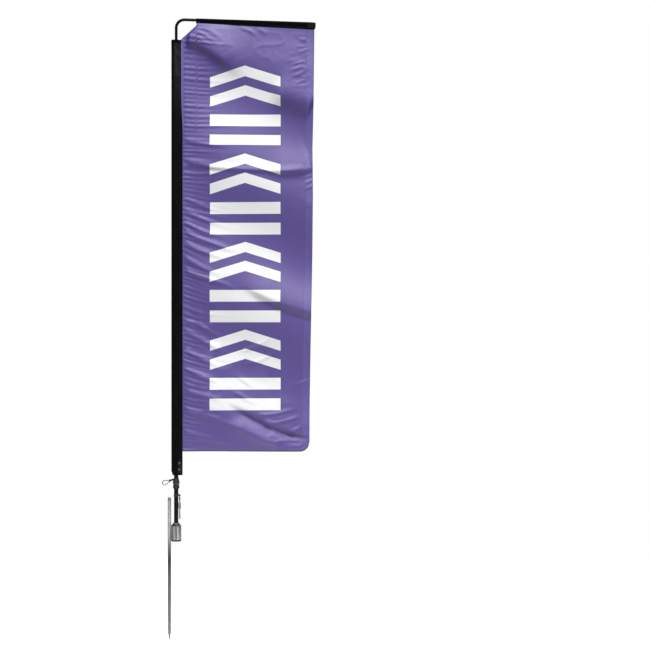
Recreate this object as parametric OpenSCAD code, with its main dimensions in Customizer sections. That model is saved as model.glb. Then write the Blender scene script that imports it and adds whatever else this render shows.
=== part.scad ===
// Block banner flag: pole, bent top arm and sleeved panel on a ball-bearing rotator with a ground spike.
// Origin on the spike's axis at the ground line. +Z is up, the panel reaches to +X and its front faces -Y.

/* [Ground spike] */
// Diameter of the spike's steel rod
spike_d = 14; // [10:0.5:18]
// Length of the spike below the ground line
spike_depth = 400; // [250:10:600]
// Length of the spike above the ground line
spike_rise = 200; // [120:5:200]
// Length of the ground point
spike_point_l = 36; // [20:1:60]

/* [Bearing housing] */
// Outside diameter of the housing
housing_d = 42; // [41:0.5:52]
// Height of the housing's foot above the ground line
housing_lift = 16; // [5:1:40]
// Height of the bottom plug's rounded rim
plug_rim_h = 7; // [5:0.5:12]
// Height of the straight steel tube
housing_tube_h = 57; // [57:1:90]
// Height of the conical dust cap
dust_cap_h = 9; // [6:0.5:14]
// Length of the weld beads
weld_l = 44; // [20:1:50]

/* [Bearings] */
// Bore of the ball bearings
bearing_bore = 15; // [12:1:17]
// Outside diameter of the ball bearings
bearing_od = 35; // [32:1:35]
// Width of one ball bearing
bearing_w = 11; // [9:1:11]
// Diameter of a ball
ball_d = 5.95; // [4.5:0.05:6.2]
// Balls in one bearing
ball_count = 8; // [6:1:8]

/* [Spindle] */
// Diameter of the flange that carries the pole
flange_d = 26; // [24:0.5:30]
// Thickness of that flange
flange_t = 3.6; // [2:0.2:6]
// Length of the spigot inside the pole
spigot_l = 100; // [60:5:140]
// Height of the lock nut
nut_h = 8; // [5:0.5:9]

/* [Pole] */
// Outside diameter of the lower pole
pole_d = 18; // [15:0.5:22]
// Wall of the pole tubes
tube_wall = 1.45; // [1:0.05:2]
// Length of the lower pole
lower_pole_l = 1057; // [800:1:1200]
// Length of the middle pole
middle_pole_l = 920; // [700:1:1100]
// How far each section plugs into the one below
plug_in_l = 70; // [40:5:100]
// Height of the top arm's middle line at the bend, above the ground line
arm_height = 2184.7; // [2100:0.1:2400]
// Radius of the bend's middle line
bend_r = 34; // [25:1:60]
// Downward slope of the top arm, in degrees
arm_slope = 1.9; // [0:0.1:4]

/* [Flag] */
// Distance from the pole's side to the seam between sleeve and panel
sleeve_seam = 17; // [15:0.5:30]
// Slack of the pole sleeve beyond the pole on the open side
sleeve_slack = 11; // [6:0.5:15]
// Room between the pole and the sleeve's front and back
sleeve_room = 4; // [3.2:0.2:7]
// Wall of the soft parts
cloth_t = 1.2; // [0.8:0.1:2]
// Height of the tail's lower edge above the ground line
tail_bottom = 291; // [288:1:400]
// Length of the tail below the panel
tail_l = 98; // [80:1:200]
// Width of the panel along its top
panel_w = 549; // [400:1:700]
// How much narrower the panel is along its foot
panel_taper = 20; // [0:1:60]
// Height of the cut corner
corner_drop = 84; // [60:1:120]
// Radius of the panel's lower outer corner
panel_corner_r = 41; // [10:1:80]
// Height of the waves in the panel
wave_h = 13; // [0:0.5:16]
// Length of one wave
wave_l = 530; // [250:10:700]
// Height above the panel's foot where a wave begins at the seam
wave_start = 370; // [0:10:500]

/* [Tension collar] */
// Gap between the tail and the collar
collar_gap = 13; // [5:1:30]
// Height of the collar
collar_h = 44; // [40:1:50]
// How far the collar slides down the pole
collar_travel = 18; // [5:1:30]
// How much wider the collar's flare is than the pole
collar_flare = 11.2; // [9:0.2:16]
// Wall of the clamp ring
clamp_ring_wall = 2.2; // [1.6:0.1:4]
// Height of the clamp ring
clamp_ring_h = 8; // [6:0.5:10]
// Diameter of the clamp screw
clamp_screw_d = 4; // [3:0.5:5]

/* [Pull loop and hook] */
// Diameter of the pull loop's wire
wire_d = 3.5; // [2.5:0.1:4.5]
// Radius of the loop's round end
loop_r = 9; // [7:0.5:11]
// Reach of the loop's round end from its pin
loop_reach = 34; // [30:1:45]
// How far the loop hangs below level, in degrees
loop_droop = 22; // [0:1:45]
// Diameter of the elastic cord
cord_d = 4; // [3:0.2:5]
// Diameter of the hook's barrel
barrel_d = 10; // [8:0.2:11]
// Length of the cord and hook from the pivot down
hook_l = 100; // [95:1:105]
// Thickness of the hook's rod
hook_rod_d = 5.4; // [4:0.2:5.6]

/* [Hidden] */
$fn = 72;

// Clearances
slip = 0.05; // radial, between parts that slide or turn on each other
seat = 0.02; // radial, between parts that are pressed or screwed together
air = 0.35; // between faces of parts that pass each other
eps = 1; // how far a cut runs past the face it opens

// Places along the rotator, from the ground up
pole_x = spike_d / 2 + housing_d / 2;
tube_z = housing_lift + plug_rim_h;
tube_top = tube_z + housing_tube_h;
cap_top = tube_top + dust_cap_h;
nut_room_d = bearing_od - 4;
plug_spigot_h = 4;
spindle_end_z = tube_z + plug_spigot_h + 1;
nut_z = spindle_end_z + 1.2;
washer_t = 1.5;
lower_bearing_z = nut_z + nut_h + washer_t;
upper_bearing_z = tube_top - 3 - bearing_w;
race_gap_z = lower_bearing_z + bearing_w;
spacer_l = upper_bearing_z - race_gap_z;
shoulder_z = upper_bearing_z + bearing_w;
shoulder_d = bearing_bore + 4.5;
cap_hole_d = shoulder_d + 2 * air + 0.2;
flange_z = cap_top + 0.4;
pole_foot = flange_z + flange_t;
snap_ring_t = 1.5;

// Bearing rings and balls
ball_path_r = (bearing_bore + bearing_od) / 4;
groove_r = ball_d / 2 + air;
inner_ring_od = 2 * ball_path_r - 4.5;
outer_ring_id = 2 * ball_path_r + 4.5;

// Pole sections
pole_bore = pole_d - 2 * tube_wall;
spigot_d = pole_bore - 2 * slip;
middle_d = pole_bore - 2 * slip;
middle_bore = middle_d - 2 * tube_wall;
rod_d = middle_bore - 2 * slip;
arm_bore = rod_d - 2 * tube_wall;
arm_spigot_d = arm_bore - 2 * slip;
lower_top = pole_foot + lower_pole_l;
middle_foot = lower_top - plug_in_l;
middle_top = middle_foot + middle_pole_l;
rod_foot = middle_top - plug_in_l;
ferrule_wall = 1.2;
ferrule_h = 34;
bend_z = arm_height - bend_r;
rod_leg = 58; // straight rod past the bend, before the arm's tube
arm_plug_l = 50;

// Soft parts
sleeve_back = pole_d / 2 + sleeve_slack;
sleeve_t = pole_d + 2 * sleeve_room;
sleeve_left = pole_x - sleeve_back;
sleeve_right = pole_x + pole_d / 2 + sleeve_seam;
sleeve_top = arm_height - corner_drop;
sleeve_tip_t = 4;
panel_bottom = tail_bottom + tail_l;
panel_foot_w = panel_w - panel_taper;
top_sleeve_start = 48;
top_sleeve_end = (sleeve_right + panel_w + 3 - pole_x - bend_r) / cos(arm_slope);
top_sleeve_corner = 8;
arm_cap_h = 4;
arm_reach = top_sleeve_end - top_sleeve_corner - arm_cap_h;
top_sleeve_rise = rod_d / 2 + 1.5;
top_sleeve_h = [rod_d + 9.5, rod_d + 18.5];
top_sleeve_t = rod_d + 4;
panel_sections = [18, 36];
cut_sections = 3;

// Tail, collar, loop and hook
eyelet_bore_d = 4.4;
eyelet_rim_d = 9;
eyelet_x = pole_x + pole_d / 2 + 4.5;
eyelet_z = [tail_bottom + 23, tail_bottom + 50];
webbing_x = eyelet_x - 5;
strap_w = 9;
strap_t = 0.9;
strap_x = pole_x - 1;
strap_y = pole_d / 2 + 0.25;
strap_top = tail_bottom + 39;
collar_flare_d = pole_d + collar_flare;
collar_top = tail_bottom - collar_gap;
collar_foot = collar_top - collar_h;
strap_foot = collar_foot + 26;
waist_d = pole_d + 5.8;
ring_bore_d = pole_d + 4;
clamp_ring_d = ring_bore_d + 2 * clamp_ring_wall;
ring_z = collar_foot + 3;
loop_pin_x = pole_x - 17;
loop_pin_z = collar_top - 6.5;
loop_pin_d = 2.5;
lug_t = 2;
lug_r = 3.6;
crimp_w = 4;
loop_neck = 10;
strand_gap = wire_d / 2 + 0.25;
strand_run = norm([loop_reach - loop_neck, strand_gap]);
loop_angle = asin(loop_r / strand_run) - atan(strand_gap / (loop_reach - loop_neck));
strand_l = sqrt(pow(strand_run, 2) - pow(loop_r, 2));
anchor_h = 10;
anchor_wall = 1.1;
hook_pivot_z = collar_foot - collar_travel - anchor_h / 2 - 4;
hook_foot = hook_pivot_z - hook_l;
hook_x = pole_x + pole_d / 2 + 0.6 + barrel_d / 2;
cord_eye_r = 4.5;
cord_eye_d = 3.2;
lug_hole_r = 2.3;
cord_top = hook_pivot_z - 2 * cord_eye_r;
barrel_top = hook_foot + 69;
barrel_h = 26;
hook_r = hook_rod_d / 2 + 2.3;
hook_bend_z = hook_foot + hook_rod_d / 2 + hook_r;
cord_end = barrel_top - 8;

// A ring of height h whose foot is at z, on the pole's axis
module ring_at(z, outer_d, inner_d, h) {
    translate([pole_x, 0, z])
        difference() {
            cylinder(d = outer_d, h = h);
            translate([0, 0, -eps])
                cylinder(d = inner_d, h = h + 2 * eps);
        }
}

// ---- ground spike and housing ----

module ground_spike() {
    color("silver") {
        difference() {
            union() {
                translate([0, 0, -spike_depth + spike_point_l])
                    cylinder(d = spike_d, h = spike_depth - spike_point_l + spike_rise - spike_d / 2);
                translate([0, 0, spike_rise - spike_d / 2])
                    sphere(d = spike_d);
                translate([0, 0, -spike_depth])
                    cylinder(d1 = 1.6, d2 = spike_d, h = spike_point_l);
            }
            // depth mark at the ground line
            difference() {
                cylinder(d = spike_d + 2, h = 2);
                translate([0, 0, -eps])
                    cylinder(d = spike_d - 1, h = 2 + 2 * eps);
            }
        }
    }
}

module housing_welds() {
    bead_z = tube_z + (housing_tube_h - weld_l) / 2;
    bead_r = spike_d * 0.2;
    color("dimgray")
        difference() {
            for (side = [-1, 1])
                translate([spike_d / 2 - 0.4, side * spike_d * 0.3, bead_z])
                    cylinder(r = bead_r, h = weld_l);
            translate([0, 0, bead_z - eps])
                cylinder(d = spike_d, h = weld_l + 2 * eps);
            translate([pole_x, 0, bead_z - eps])
                cylinder(d = housing_d, h = weld_l + 2 * eps);
        }
}

module bearing_housing() {
    color("silver")
        difference() {
            translate([pole_x, 0, tube_z])
                cylinder(d = housing_d, h = housing_tube_h);
            translate([pole_x, 0, tube_z - eps])
                cylinder(d = nut_room_d, h = housing_tube_h);
            translate([pole_x, 0, lower_bearing_z])
                cylinder(d = bearing_od, h = tube_top - lower_bearing_z + eps);
            translate([pole_x, 0, shoulder_z])
                cylinder(d = bearing_od + 2, h = snap_ring_t);
        }
}

module bottom_plug() {
    edge_r = plug_rim_h * 0.6;
    color("gray")
        translate([pole_x, 0, housing_lift]) {
            rotate_extrude()
                difference() {
                    square([housing_d / 2, plug_rim_h]);
                    translate([housing_d / 2 - edge_r, 0])
                        difference() {
                            square(edge_r);
                            translate([0, edge_r])
                                circle(r = edge_r);
                        }
                }
            cylinder(d = nut_room_d - 2 * seat, h = plug_rim_h + plug_spigot_h);
        }
}

module dust_cap() {
    skirt_h = tube_top - shoulder_z - snap_ring_t - 0.3;
    color("gray")
        difference() {
            union() {
                translate([pole_x, 0, tube_top])
                    cylinder(d1 = housing_d, d2 = flange_d + 2, h = dust_cap_h);
                translate([pole_x, 0, tube_top - skirt_h])
                    cylinder(d = bearing_od - 2 * seat, h = skirt_h + 0.5);
            }
            translate([pole_x, 0, tube_top - skirt_h - eps])
                cylinder(d = cap_hole_d, h = skirt_h + dust_cap_h + 2 * eps);
        }
}

// ---- bearings ----

module outer_race(z) {
    translate([pole_x, 0, z])
        difference() {
            cylinder(d = bearing_od - 2 * seat, h = bearing_w);
            translate([0, 0, -eps])
                cylinder(d = outer_ring_id, h = bearing_w + 2 * eps);
            translate([0, 0, bearing_w / 2])
                rotate_extrude()
                    translate([ball_path_r, 0])
                        circle(r = groove_r);
        }
}

module inner_race(z) {
    translate([pole_x, 0, z])
        difference() {
            cylinder(d = inner_ring_od, h = bearing_w);
            translate([0, 0, -eps])
                cylinder(d = bearing_bore + 2 * seat, h = bearing_w + 2 * eps);
            translate([0, 0, bearing_w / 2])
                rotate_extrude()
                    translate([ball_path_r, 0])
                        circle(r = groove_r);
        }
}

module balls(z) {
    for (i = [0 : ball_count - 1])
        translate([pole_x, 0, z + bearing_w / 2])
            rotate([0, 0, i * 360 / ball_count])
                translate([ball_path_r, 0, 0])
                    sphere(d = ball_d);
}

module cage(z) {
    cage_h = ball_d + 2.4;
    difference() {
        ring_at(z + (bearing_w - cage_h) / 2, 2 * ball_path_r + 1.8, 2 * ball_path_r - 1.8, cage_h);
        for (i = [0 : ball_count - 1])
            translate([pole_x, 0, z + bearing_w / 2])
                rotate([0, 90, i * 360 / ball_count])
                    cylinder(d = ball_d + 0.2, h = 2 * ball_path_r);
    }
}

module lower_outer_race() { color("lightsteelblue") outer_race(lower_bearing_z); }
module upper_outer_race() { color("lightsteelblue") outer_race(upper_bearing_z); }
module lower_inner_race() { color("lightsteelblue") inner_race(lower_bearing_z); }
module upper_inner_race() { color("lightsteelblue") inner_race(upper_bearing_z); }
module lower_balls() { color("white") balls(lower_bearing_z); }
module upper_balls() { color("white") balls(upper_bearing_z); }
module lower_cage() { color("goldenrod") cage(lower_bearing_z); }
module upper_cage() { color("goldenrod") cage(upper_bearing_z); }

module outer_spacer() {
    color("darkgray")
        ring_at(race_gap_z, bearing_od - 2 * seat, nut_room_d, spacer_l);
}

module inner_spacer() {
    color("darkgray")
        ring_at(race_gap_z, inner_ring_od, bearing_bore + 2 * seat, spacer_l);
}

module snap_ring() {
    color("dimgray")
        difference() {
            ring_at(shoulder_z, bearing_od + 2 - 2 * seat, bearing_od - 4, snap_ring_t);
            translate([pole_x, -2, shoulder_z - eps])
                cube([bearing_od, 4, snap_ring_t + 2 * eps]);
        }
}

// ---- spindle ----

module spindle() {
    o_ring_groove = 1.2;
    color("silver")
        difference() {
            translate([pole_x, 0, 0]) {
                translate([0, 0, spindle_end_z])
                    cylinder(d = bearing_bore, h = shoulder_z - spindle_end_z);
                translate([0, 0, shoulder_z])
                    cylinder(d = shoulder_d, h = flange_z - shoulder_z);
                translate([0, 0, flange_z])
                    cylinder(d = flange_d, h = flange_t);
                translate([0, 0, pole_foot])
                    cylinder(d = spigot_d, h = spigot_l - 2);
                translate([0, 0, pole_foot + spigot_l - 2])
                    cylinder(d1 = spigot_d, d2 = spigot_d - 4, h = 2);
            }
            for (z = o_ring_places())
                ring_at(z - o_ring_groove, spigot_d + 2, spigot_d - 2.4, 2 * o_ring_groove);
        }
}

function o_ring_places() = [pole_foot + spigot_l * 0.3, pole_foot + spigot_l * 0.8];

module spindle_o_rings() {
    color("black")
        for (z = o_ring_places())
            ring_at(z - 1, spigot_d, spigot_d - 2.3, 2);
}

module spindle_washer() {
    color("darkgray")
        ring_at(lower_bearing_z - washer_t, inner_ring_od + 2, bearing_bore + 2 * seat, washer_t);
}

module lock_nut() {
    across_flats = bearing_bore + 7;
    color("gray")
        translate([pole_x, 0, nut_z])
            difference() {
                cylinder(d = across_flats / cos(30), h = nut_h, $fn = 6);
                translate([0, 0, -eps])
                    cylinder(d = bearing_bore + 2 * seat, h = nut_h + 2 * eps);
            }
}

// ---- pole ----

module lower_pole() {
    color("black")
        ring_at(pole_foot, pole_d, pole_bore, lower_pole_l);
}

module middle_pole() {
    color("black")
        ring_at(middle_foot, middle_d, middle_bore, middle_pole_l);
}

// A cap that steps from the wide tube below to the thin tube above
module ferrule(joint_z, wide_d, thin_d) {
    cap_d = wide_d + 2 * ferrule_wall;
    color("black") {
        ring_at(joint_z - ferrule_h + 6, cap_d, wide_d + 2 * seat, ferrule_h - 6);
        ring_at(joint_z, cap_d, thin_d + 2 * seat, 6);
    }
}

module lower_ferrule() { ferrule(lower_top, pole_d, middle_d); }
module upper_ferrule() { ferrule(middle_top, middle_d, rod_d); }

// The top arm's own frame: origin at the bend's centre, +X along the arm, the arm's axis at z = bend_r
module arm_frame() {
    translate([pole_x + bend_r, 0, bend_z])
        rotate([0, arm_slope, 0])
            children();
}

function arm_point(along, up) = [
    pole_x + bend_r + along * cos(arm_slope) + up * sin(arm_slope),
    bend_z - along * sin(arm_slope) + up * cos(arm_slope)
];

module corner_elbow() {
    color("black") {
        translate([pole_x, 0, rod_foot])
            cylinder(d = rod_d, h = bend_z - rod_foot);
        translate([pole_x + bend_r, 0, bend_z])
            rotate([90, 0, 0])
                rotate([0, 0, 90 - arm_slope])
                    rotate_extrude(angle = 90 + arm_slope)
                        translate([bend_r, 0])
                            circle(d = rod_d);
        arm_frame()
            translate([0, 0, bend_r])
                rotate([0, 90, 0]) {
                    cylinder(d = rod_d, h = rod_leg);
                    cylinder(d = arm_spigot_d, h = rod_leg + arm_plug_l);
                }
    }
}

module top_arm() {
    arm_l = arm_reach - rod_leg;
    color("black")
        arm_frame()
            translate([rod_leg, 0, bend_r])
                rotate([0, 90, 0])
                    difference() {
                        cylinder(d = rod_d, h = arm_l);
                        translate([0, 0, -eps])
                            cylinder(d = arm_bore, h = arm_l + 2 * eps);
                    }
}

module arm_end_cap() {
    color("dimgray")
        arm_frame()
            translate([arm_reach, 0, bend_r])
                rotate([0, 90, 0]) {
                    translate([0, 0, -18])
                        cylinder(d = arm_bore - 2 * seat, h = 18.5);
                    cylinder(d = rod_d, h = arm_cap_h / 2);
                    translate([0, 0, arm_cap_h / 2])
                        cylinder(d1 = rod_d, d2 = rod_d - 4, h = arm_cap_h / 2);
                }
}

// ---- flag ----

// Half thickness of the pole sleeve at x: an ellipse on the open side, a straight taper to the seam
function sleeve_half(x, half, back, tip) =
    x <= 0
        ? half * sqrt(max(0, 1 - pow(x / back, 2)))
        : half + (tip - half) * x / (sleeve_right - pole_x);

function sleeve_section(inset) =
    let (
        back = sleeve_back - inset,
        half = sleeve_t / 2 - inset,
        tip = max(sleeve_tip_t / 2 - inset, 0.3),
        round_xs = [for (i = [0 : 12]) -back * cos(i * 90 / 12)],
        end_x = sleeve_right - pole_x - inset,
        top = concat(
            [for (x = round_xs) [x, sleeve_half(x, half, back, tip)]],
            [[end_x, sleeve_half(end_x, half, back, tip)]]
        ),
        n = len(top)
    )
    concat(top, [for (i = [n - 1 : -1 : 1]) [top[i][0], -top[i][1]]]);

module pole_sleeve() {
    tail_cut = [7, 19];
    color("black")
        difference() {
            translate([pole_x, 0, tail_bottom])
                linear_extrude(height = sleeve_top - tail_bottom)
                    polygon(sleeve_section(0));
            translate([pole_x, 0, tail_bottom - eps])
                linear_extrude(height = sleeve_top - tail_bottom + 2 * eps)
                    polygon(sleeve_section(cloth_t));
            // slanted lower corner of the tail
            translate([sleeve_left, sleeve_t, tail_bottom])
                rotate([90, 0, 0])
                    linear_extrude(height = 2 * sleeve_t)
                        polygon([
                            [-eps, -eps], [tail_cut[0], -eps], [tail_cut[0], 0], [0, tail_cut[1]],
                            [-eps, tail_cut[1]]
                        ]);
            eyelet_holes(eyelet_bore_d + 1.2);
        }
}

// Outline of the top sleeve in the arm's frame, drawn in by the inset
function top_sleeve_outline(inset) =
    let (
        top = bend_r + top_sleeve_rise - inset,
        left = top_sleeve_start,
        right = top_sleeve_end - inset,
        foot_left = bend_r + top_sleeve_rise - top_sleeve_h[0] + inset,
        foot_right = bend_r + top_sleeve_rise - top_sleeve_h[1] + inset,
        r = top_sleeve_corner
    )
    [[left, top], [left, foot_left], [right - r, foot_right], [right, foot_right + r], [right, top - r],
        [right - r, top]];

module arm_plate(outline, thickness) {
    arm_frame()
        rotate([90, 0, 0])
            translate([0, 0, -thickness / 2])
                linear_extrude(height = thickness)
                    polygon(outline);
}

module top_sleeve() {
    color("black")
        difference() {
            arm_plate(top_sleeve_outline(0), top_sleeve_t);
            arm_plate(top_sleeve_outline(cloth_t), top_sleeve_t - 2 * cloth_t);
            // open mouth at the bend
            arm_frame()
                translate([top_sleeve_start - eps, -top_sleeve_t / 2 + cloth_t, bend_r - rod_d / 2 - air])
                    cube([2 * eps, top_sleeve_t - 2 * cloth_t, rod_d + 2 * air]);
        }
}

// Webbing folded over the top sleeve's closed end
module arm_pocket() {
    patch_l = 34;
    patch_t = 1.4;
    top = bend_r + top_sleeve_rise - 3;
    foot = bend_r + top_sleeve_rise - top_sleeve_h[1] + 4;
    color([0.09, 0.09, 0.1])
        arm_frame() {
            for (side = [-1, 1])
                translate([top_sleeve_end - patch_l, (side * (top_sleeve_t + patch_t) - patch_t) / 2, foot])
                    cube([patch_l + patch_t, patch_t, top - foot]);
            translate([top_sleeve_end, -top_sleeve_t / 2, foot + 5])
                cube([patch_t, top_sleeve_t, top - foot - 10]);
        }
}

// Share of the panel's width at column i: closer columns over the cut corner
function column(i) =
    let (cut = (arm_point(top_sleeve_start, 0)[0] - sleeve_right) / panel_w)
    i <= cut_sections
        ? cut * i / cut_sections
        : cut + (1 - cut) * (i - cut_sections) / (panel_sections[0] - cut_sections);

// Height of the panel's upper edge at the share u of its width
function panel_head(u) =
    let (
        x = sleeve_right + u * panel_w,
        left = arm_point(top_sleeve_start, bend_r + top_sleeve_rise - top_sleeve_h[0]),
        right = arm_point(top_sleeve_end - top_sleeve_corner, bend_r + top_sleeve_rise - top_sleeve_h[1]),
        along = left[1] + (right[1] - left[1]) * (x - left[0]) / (right[0] - left[0]),
        corner = left[1] - 10 - (left[0] - x) * (left[1] - 10 - sleeve_top - 8) / (left[0] - sleeve_right)
    )
    x < left[0] - 0.5 ? min(along, corner) : along;

// Height of the panel's lower edge, rounded up at the outer corner
function panel_foot(u) =
    let (past = max(0, u * panel_foot_w - (panel_foot_w - panel_corner_r)))
    panel_bottom + panel_corner_r - sqrt(pow(panel_corner_r, 2) - pow(past, 2));

// How far the panel waves towards the back: flat at both sleeves, growing away from them
function panel_wave(u, v, x, z) =
    wave_h * sin(min(90, u * 300)) * sin(min(90, (1 - v) * 500)) *
    sin(360 * ((z - panel_bottom - wave_start) + (x - sleeve_right) / 2) / wave_l);

function panel_point(u, v, side) =
    let (
        width = panel_foot_w + (panel_w - panel_foot_w) * v,
        x = sleeve_right + u * width,
        z = panel_foot(u) + v * (panel_head(u) - panel_foot(u))
    )
    [x, panel_wave(u, v, x, z) + side * cloth_t / 2, z];

module flag_panel() {
    nu = panel_sections[0];
    nv = panel_sections[1];
    row = nu + 1;
    layer = row * (nv + 1);
    function at(i, j, side) = side * layer + j * row + i;
    points = [
        for (side = [-1, 1], j = [0 : nv], i = [0 : nu]) panel_point(column(i), j / nv, side)
    ];
    front = [
        for (j = [0 : nv - 1], i = [0 : nu - 1])
            each [
                [at(i, j, 0), at(i + 1, j + 1, 0), at(i + 1, j, 0)],
                [at(i, j, 0), at(i, j + 1, 0), at(i + 1, j + 1, 0)]
            ]
    ];
    back = [
        for (j = [0 : nv - 1], i = [0 : nu - 1])
            each [
                [at(i, j, 1), at(i + 1, j, 1), at(i + 1, j + 1, 1)],
                [at(i, j, 1), at(i + 1, j + 1, 1), at(i, j + 1, 1)]
            ]
    ];
    foot = [for (i = [0 : nu - 1]) [at(i, 0, 0), at(i + 1, 0, 0), at(i + 1, 0, 1), at(i, 0, 1)]];
    head = [for (i = [0 : nu - 1]) [at(i, nv, 1), at(i + 1, nv, 1), at(i + 1, nv, 0), at(i, nv, 0)]];
    left = [for (j = [0 : nv - 1]) [at(0, j, 1), at(0, j + 1, 1), at(0, j + 1, 0), at(0, j, 0)]];
    right = [for (j = [0 : nv - 1]) [at(nu, j, 0), at(nu, j + 1, 0), at(nu, j + 1, 1), at(nu, j, 1)]];
    color([0.38, 0.32, 0.6])
        polyhedron(points, concat(front, back, foot, head, left, right));
}

module eyelet_holes(d) {
    for (z = eyelet_z)
        translate([eyelet_x, sleeve_t, z])
            rotate([90, 0, 0])
                cylinder(d = d, h = 2 * sleeve_t);
}

// Half thickness of the sleeve where the webbing begins
function tail_half() = sleeve_half(webbing_x - pole_x, sleeve_t / 2, sleeve_back, sleeve_tip_t / 2);

module tail_webbing() {
    patch = [17, 60];
    color([0.09, 0.09, 0.1])
        difference() {
            for (side = [-1, 1])
                translate([webbing_x, side * (tail_half() + cloth_t / 2) - cloth_t / 2, tail_bottom + 7])
                    cube([patch[0], cloth_t, patch[1]]);
            eyelet_holes(eyelet_bore_d + 1.2);
        }
}

module sleeve_eyelets() {
    barrel = 2 * (tail_half() + cloth_t);
    color("gainsboro")
        for (z = eyelet_z)
            translate([eyelet_x, 0, z])
                rotate([90, 0, 0])
                    difference() {
                        union() {
                            cylinder(d = eyelet_bore_d + 1, h = barrel + 0.6, center = true);
                            for (side = [-1, 1])
                                translate([0, 0, side * (barrel / 2 + 0.4)])
                                    cylinder(d = eyelet_rim_d, h = 0.8, center = true);
                        }
                        cylinder(d = eyelet_bore_d, h = barrel + 4, center = true);
                    }
}

module elastic_strap() {
    color([0.05, 0.05, 0.05])
        translate([strap_x - strap_w / 2, strap_y, strap_foot])
            cube([strap_w, strap_t, strap_top - strap_foot]);
}

// ---- tension collar ----

module tension_collar() {
    flare_z = collar_foot + 25;
    waist_z = collar_foot + 16;
    neck_d = pole_d + 3;
    outline = [
        [0, collar_foot], [ring_bore_d / 2 - seat, collar_foot],
        [ring_bore_d / 2 - seat, ring_z + clamp_ring_h], [waist_d / 2, ring_z + clamp_ring_h],
        [waist_d / 2, waist_z], [collar_flare_d / 2 - 1, flare_z - 3], [collar_flare_d / 2, flare_z],
        [collar_flare_d / 2 - 0.8, flare_z + 3], [neck_d / 2 + 0.8, collar_top - 4],
        [neck_d / 2, collar_top], [0, collar_top]
    ];
    color([0.07, 0.07, 0.07])
        difference() {
            union() {
                translate([pole_x, 0, 0])
                    rotate_extrude()
                        polygon(outline);
                for (side = [-1, 1])
                    translate([loop_pin_x, side * (crimp_w / 2 + air + lug_t / 2), loop_pin_z])
                        rotate([90, 0, 0]) {
                            cylinder(r = lug_r, h = lug_t, center = true);
                            translate([0, -lug_r, -lug_t / 2])
                                cube([pole_x - loop_pin_x - pole_d / 2, 2 * lug_r, lug_t]);
                        }
            }
            translate([pole_x, 0, collar_foot - eps])
                cylinder(d = pole_d + 2 * slip, h = collar_h + 2 * eps);
            // slot for the elastic strap
            translate([strap_x - strap_w / 2 - 0.2, strap_y - 0.2, strap_foot - 0.5])
                cube([strap_w + 0.4, strap_t + 0.4, collar_h]);
            translate([loop_pin_x, 0, loop_pin_z])
                rotate([90, 0, 0])
                    cylinder(d = loop_pin_d + 2 * seat, h = 2 * lug_t + crimp_w + 4, center = true);
            clamp_hole(clamp_screw_d + 2 * seat);
        }
}

module clamp_hole(d) {
    translate([pole_x, 0, ring_z + clamp_ring_h / 2])
        rotate([90, 0, 0])
            cylinder(d = d, h = clamp_ring_d);
}

module clamp_ring() {
    color("dimgray")
        difference() {
            ring_at(ring_z, clamp_ring_d, ring_bore_d, clamp_ring_h);
            clamp_hole(clamp_screw_d + 2 * seat);
        }
}

module clamp_screw() {
    tip = pole_d / 2 + slip;
    head_y = clamp_ring_d / 2;
    color("gainsboro")
        translate([pole_x, 0, ring_z + clamp_ring_h / 2])
            rotate([90, 0, 0])
                difference() {
                    union() {
                        translate([0, 0, tip])
                            cylinder(d = clamp_screw_d, h = head_y - tip);
                        translate([0, 0, head_y])
                            cylinder(d1 = clamp_screw_d + 3, d2 = clamp_screw_d + 1.6, h = 2);
                    }
                    translate([-0.5, -clamp_screw_d, head_y + 1.1])
                        cube([1, 2 * clamp_screw_d, 2]);
                }
}

module loop_pin() {
    reach = crimp_w / 2 + air + lug_t;
    color("gray")
        translate([loop_pin_x, 0, loop_pin_z])
            rotate([90, 0, 0]) {
                cylinder(d = loop_pin_d, h = 2 * reach, center = true);
                for (side = [-1, 1])
                    translate([0, 0, side * (reach + 0.5)])
                        cylinder(d = loop_pin_d + 1.5, h = 1, center = true);
            }
}

// ---- pull loop ----

// The loop's own frame: origin on its pin, +X along the loop, the loop in the XZ plane
module loop_frame() {
    translate([loop_pin_x, 0, loop_pin_z])
        rotate([0, 180 - loop_droop, 0])
            children();
}

module loop_crimp() {
    color([0.07, 0.07, 0.07])
        loop_frame()
            difference() {
                union() {
                    rotate([90, 0, 0])
                        cylinder(r = 3, h = crimp_w, center = true);
                    rotate([0, 90, 0])
                        cylinder(d = crimp_w, h = loop_neck - 2);
                    translate([lug_r + 0.8, 0, 0])
                        rotate([0, 90, 0])
                            cylinder(d = 2 * strand_gap + wire_d + 1.6, h = 9);
                }
                rotate([90, 0, 0])
                    cylinder(d = loop_pin_d + 2 * slip, h = crimp_w + 2 * eps, center = true);
                loop_strands(wire_d + 2 * seat);
            }
}

// The two straight strands, side by side in the crimp and opening away from it
module loop_strands(d) {
    for (side = [-1, 1])
        translate([loop_neck, 0, side * strand_gap])
            rotate([0, 90 - side * loop_angle, 0])
                cylinder(d = d, h = strand_l);
}

module pull_loop() {
    color("darkgray")
        loop_frame() {
            loop_strands(wire_d);
            translate([loop_reach, 0, 0])
                rotate([90, 0, 0])
                    rotate([0, 0, -90 - loop_angle])
                        rotate_extrude(angle = 180 + 2 * loop_angle)
                            translate([loop_r, 0])
                                circle(d = wire_d);
        }
}

// ---- hook ----

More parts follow.
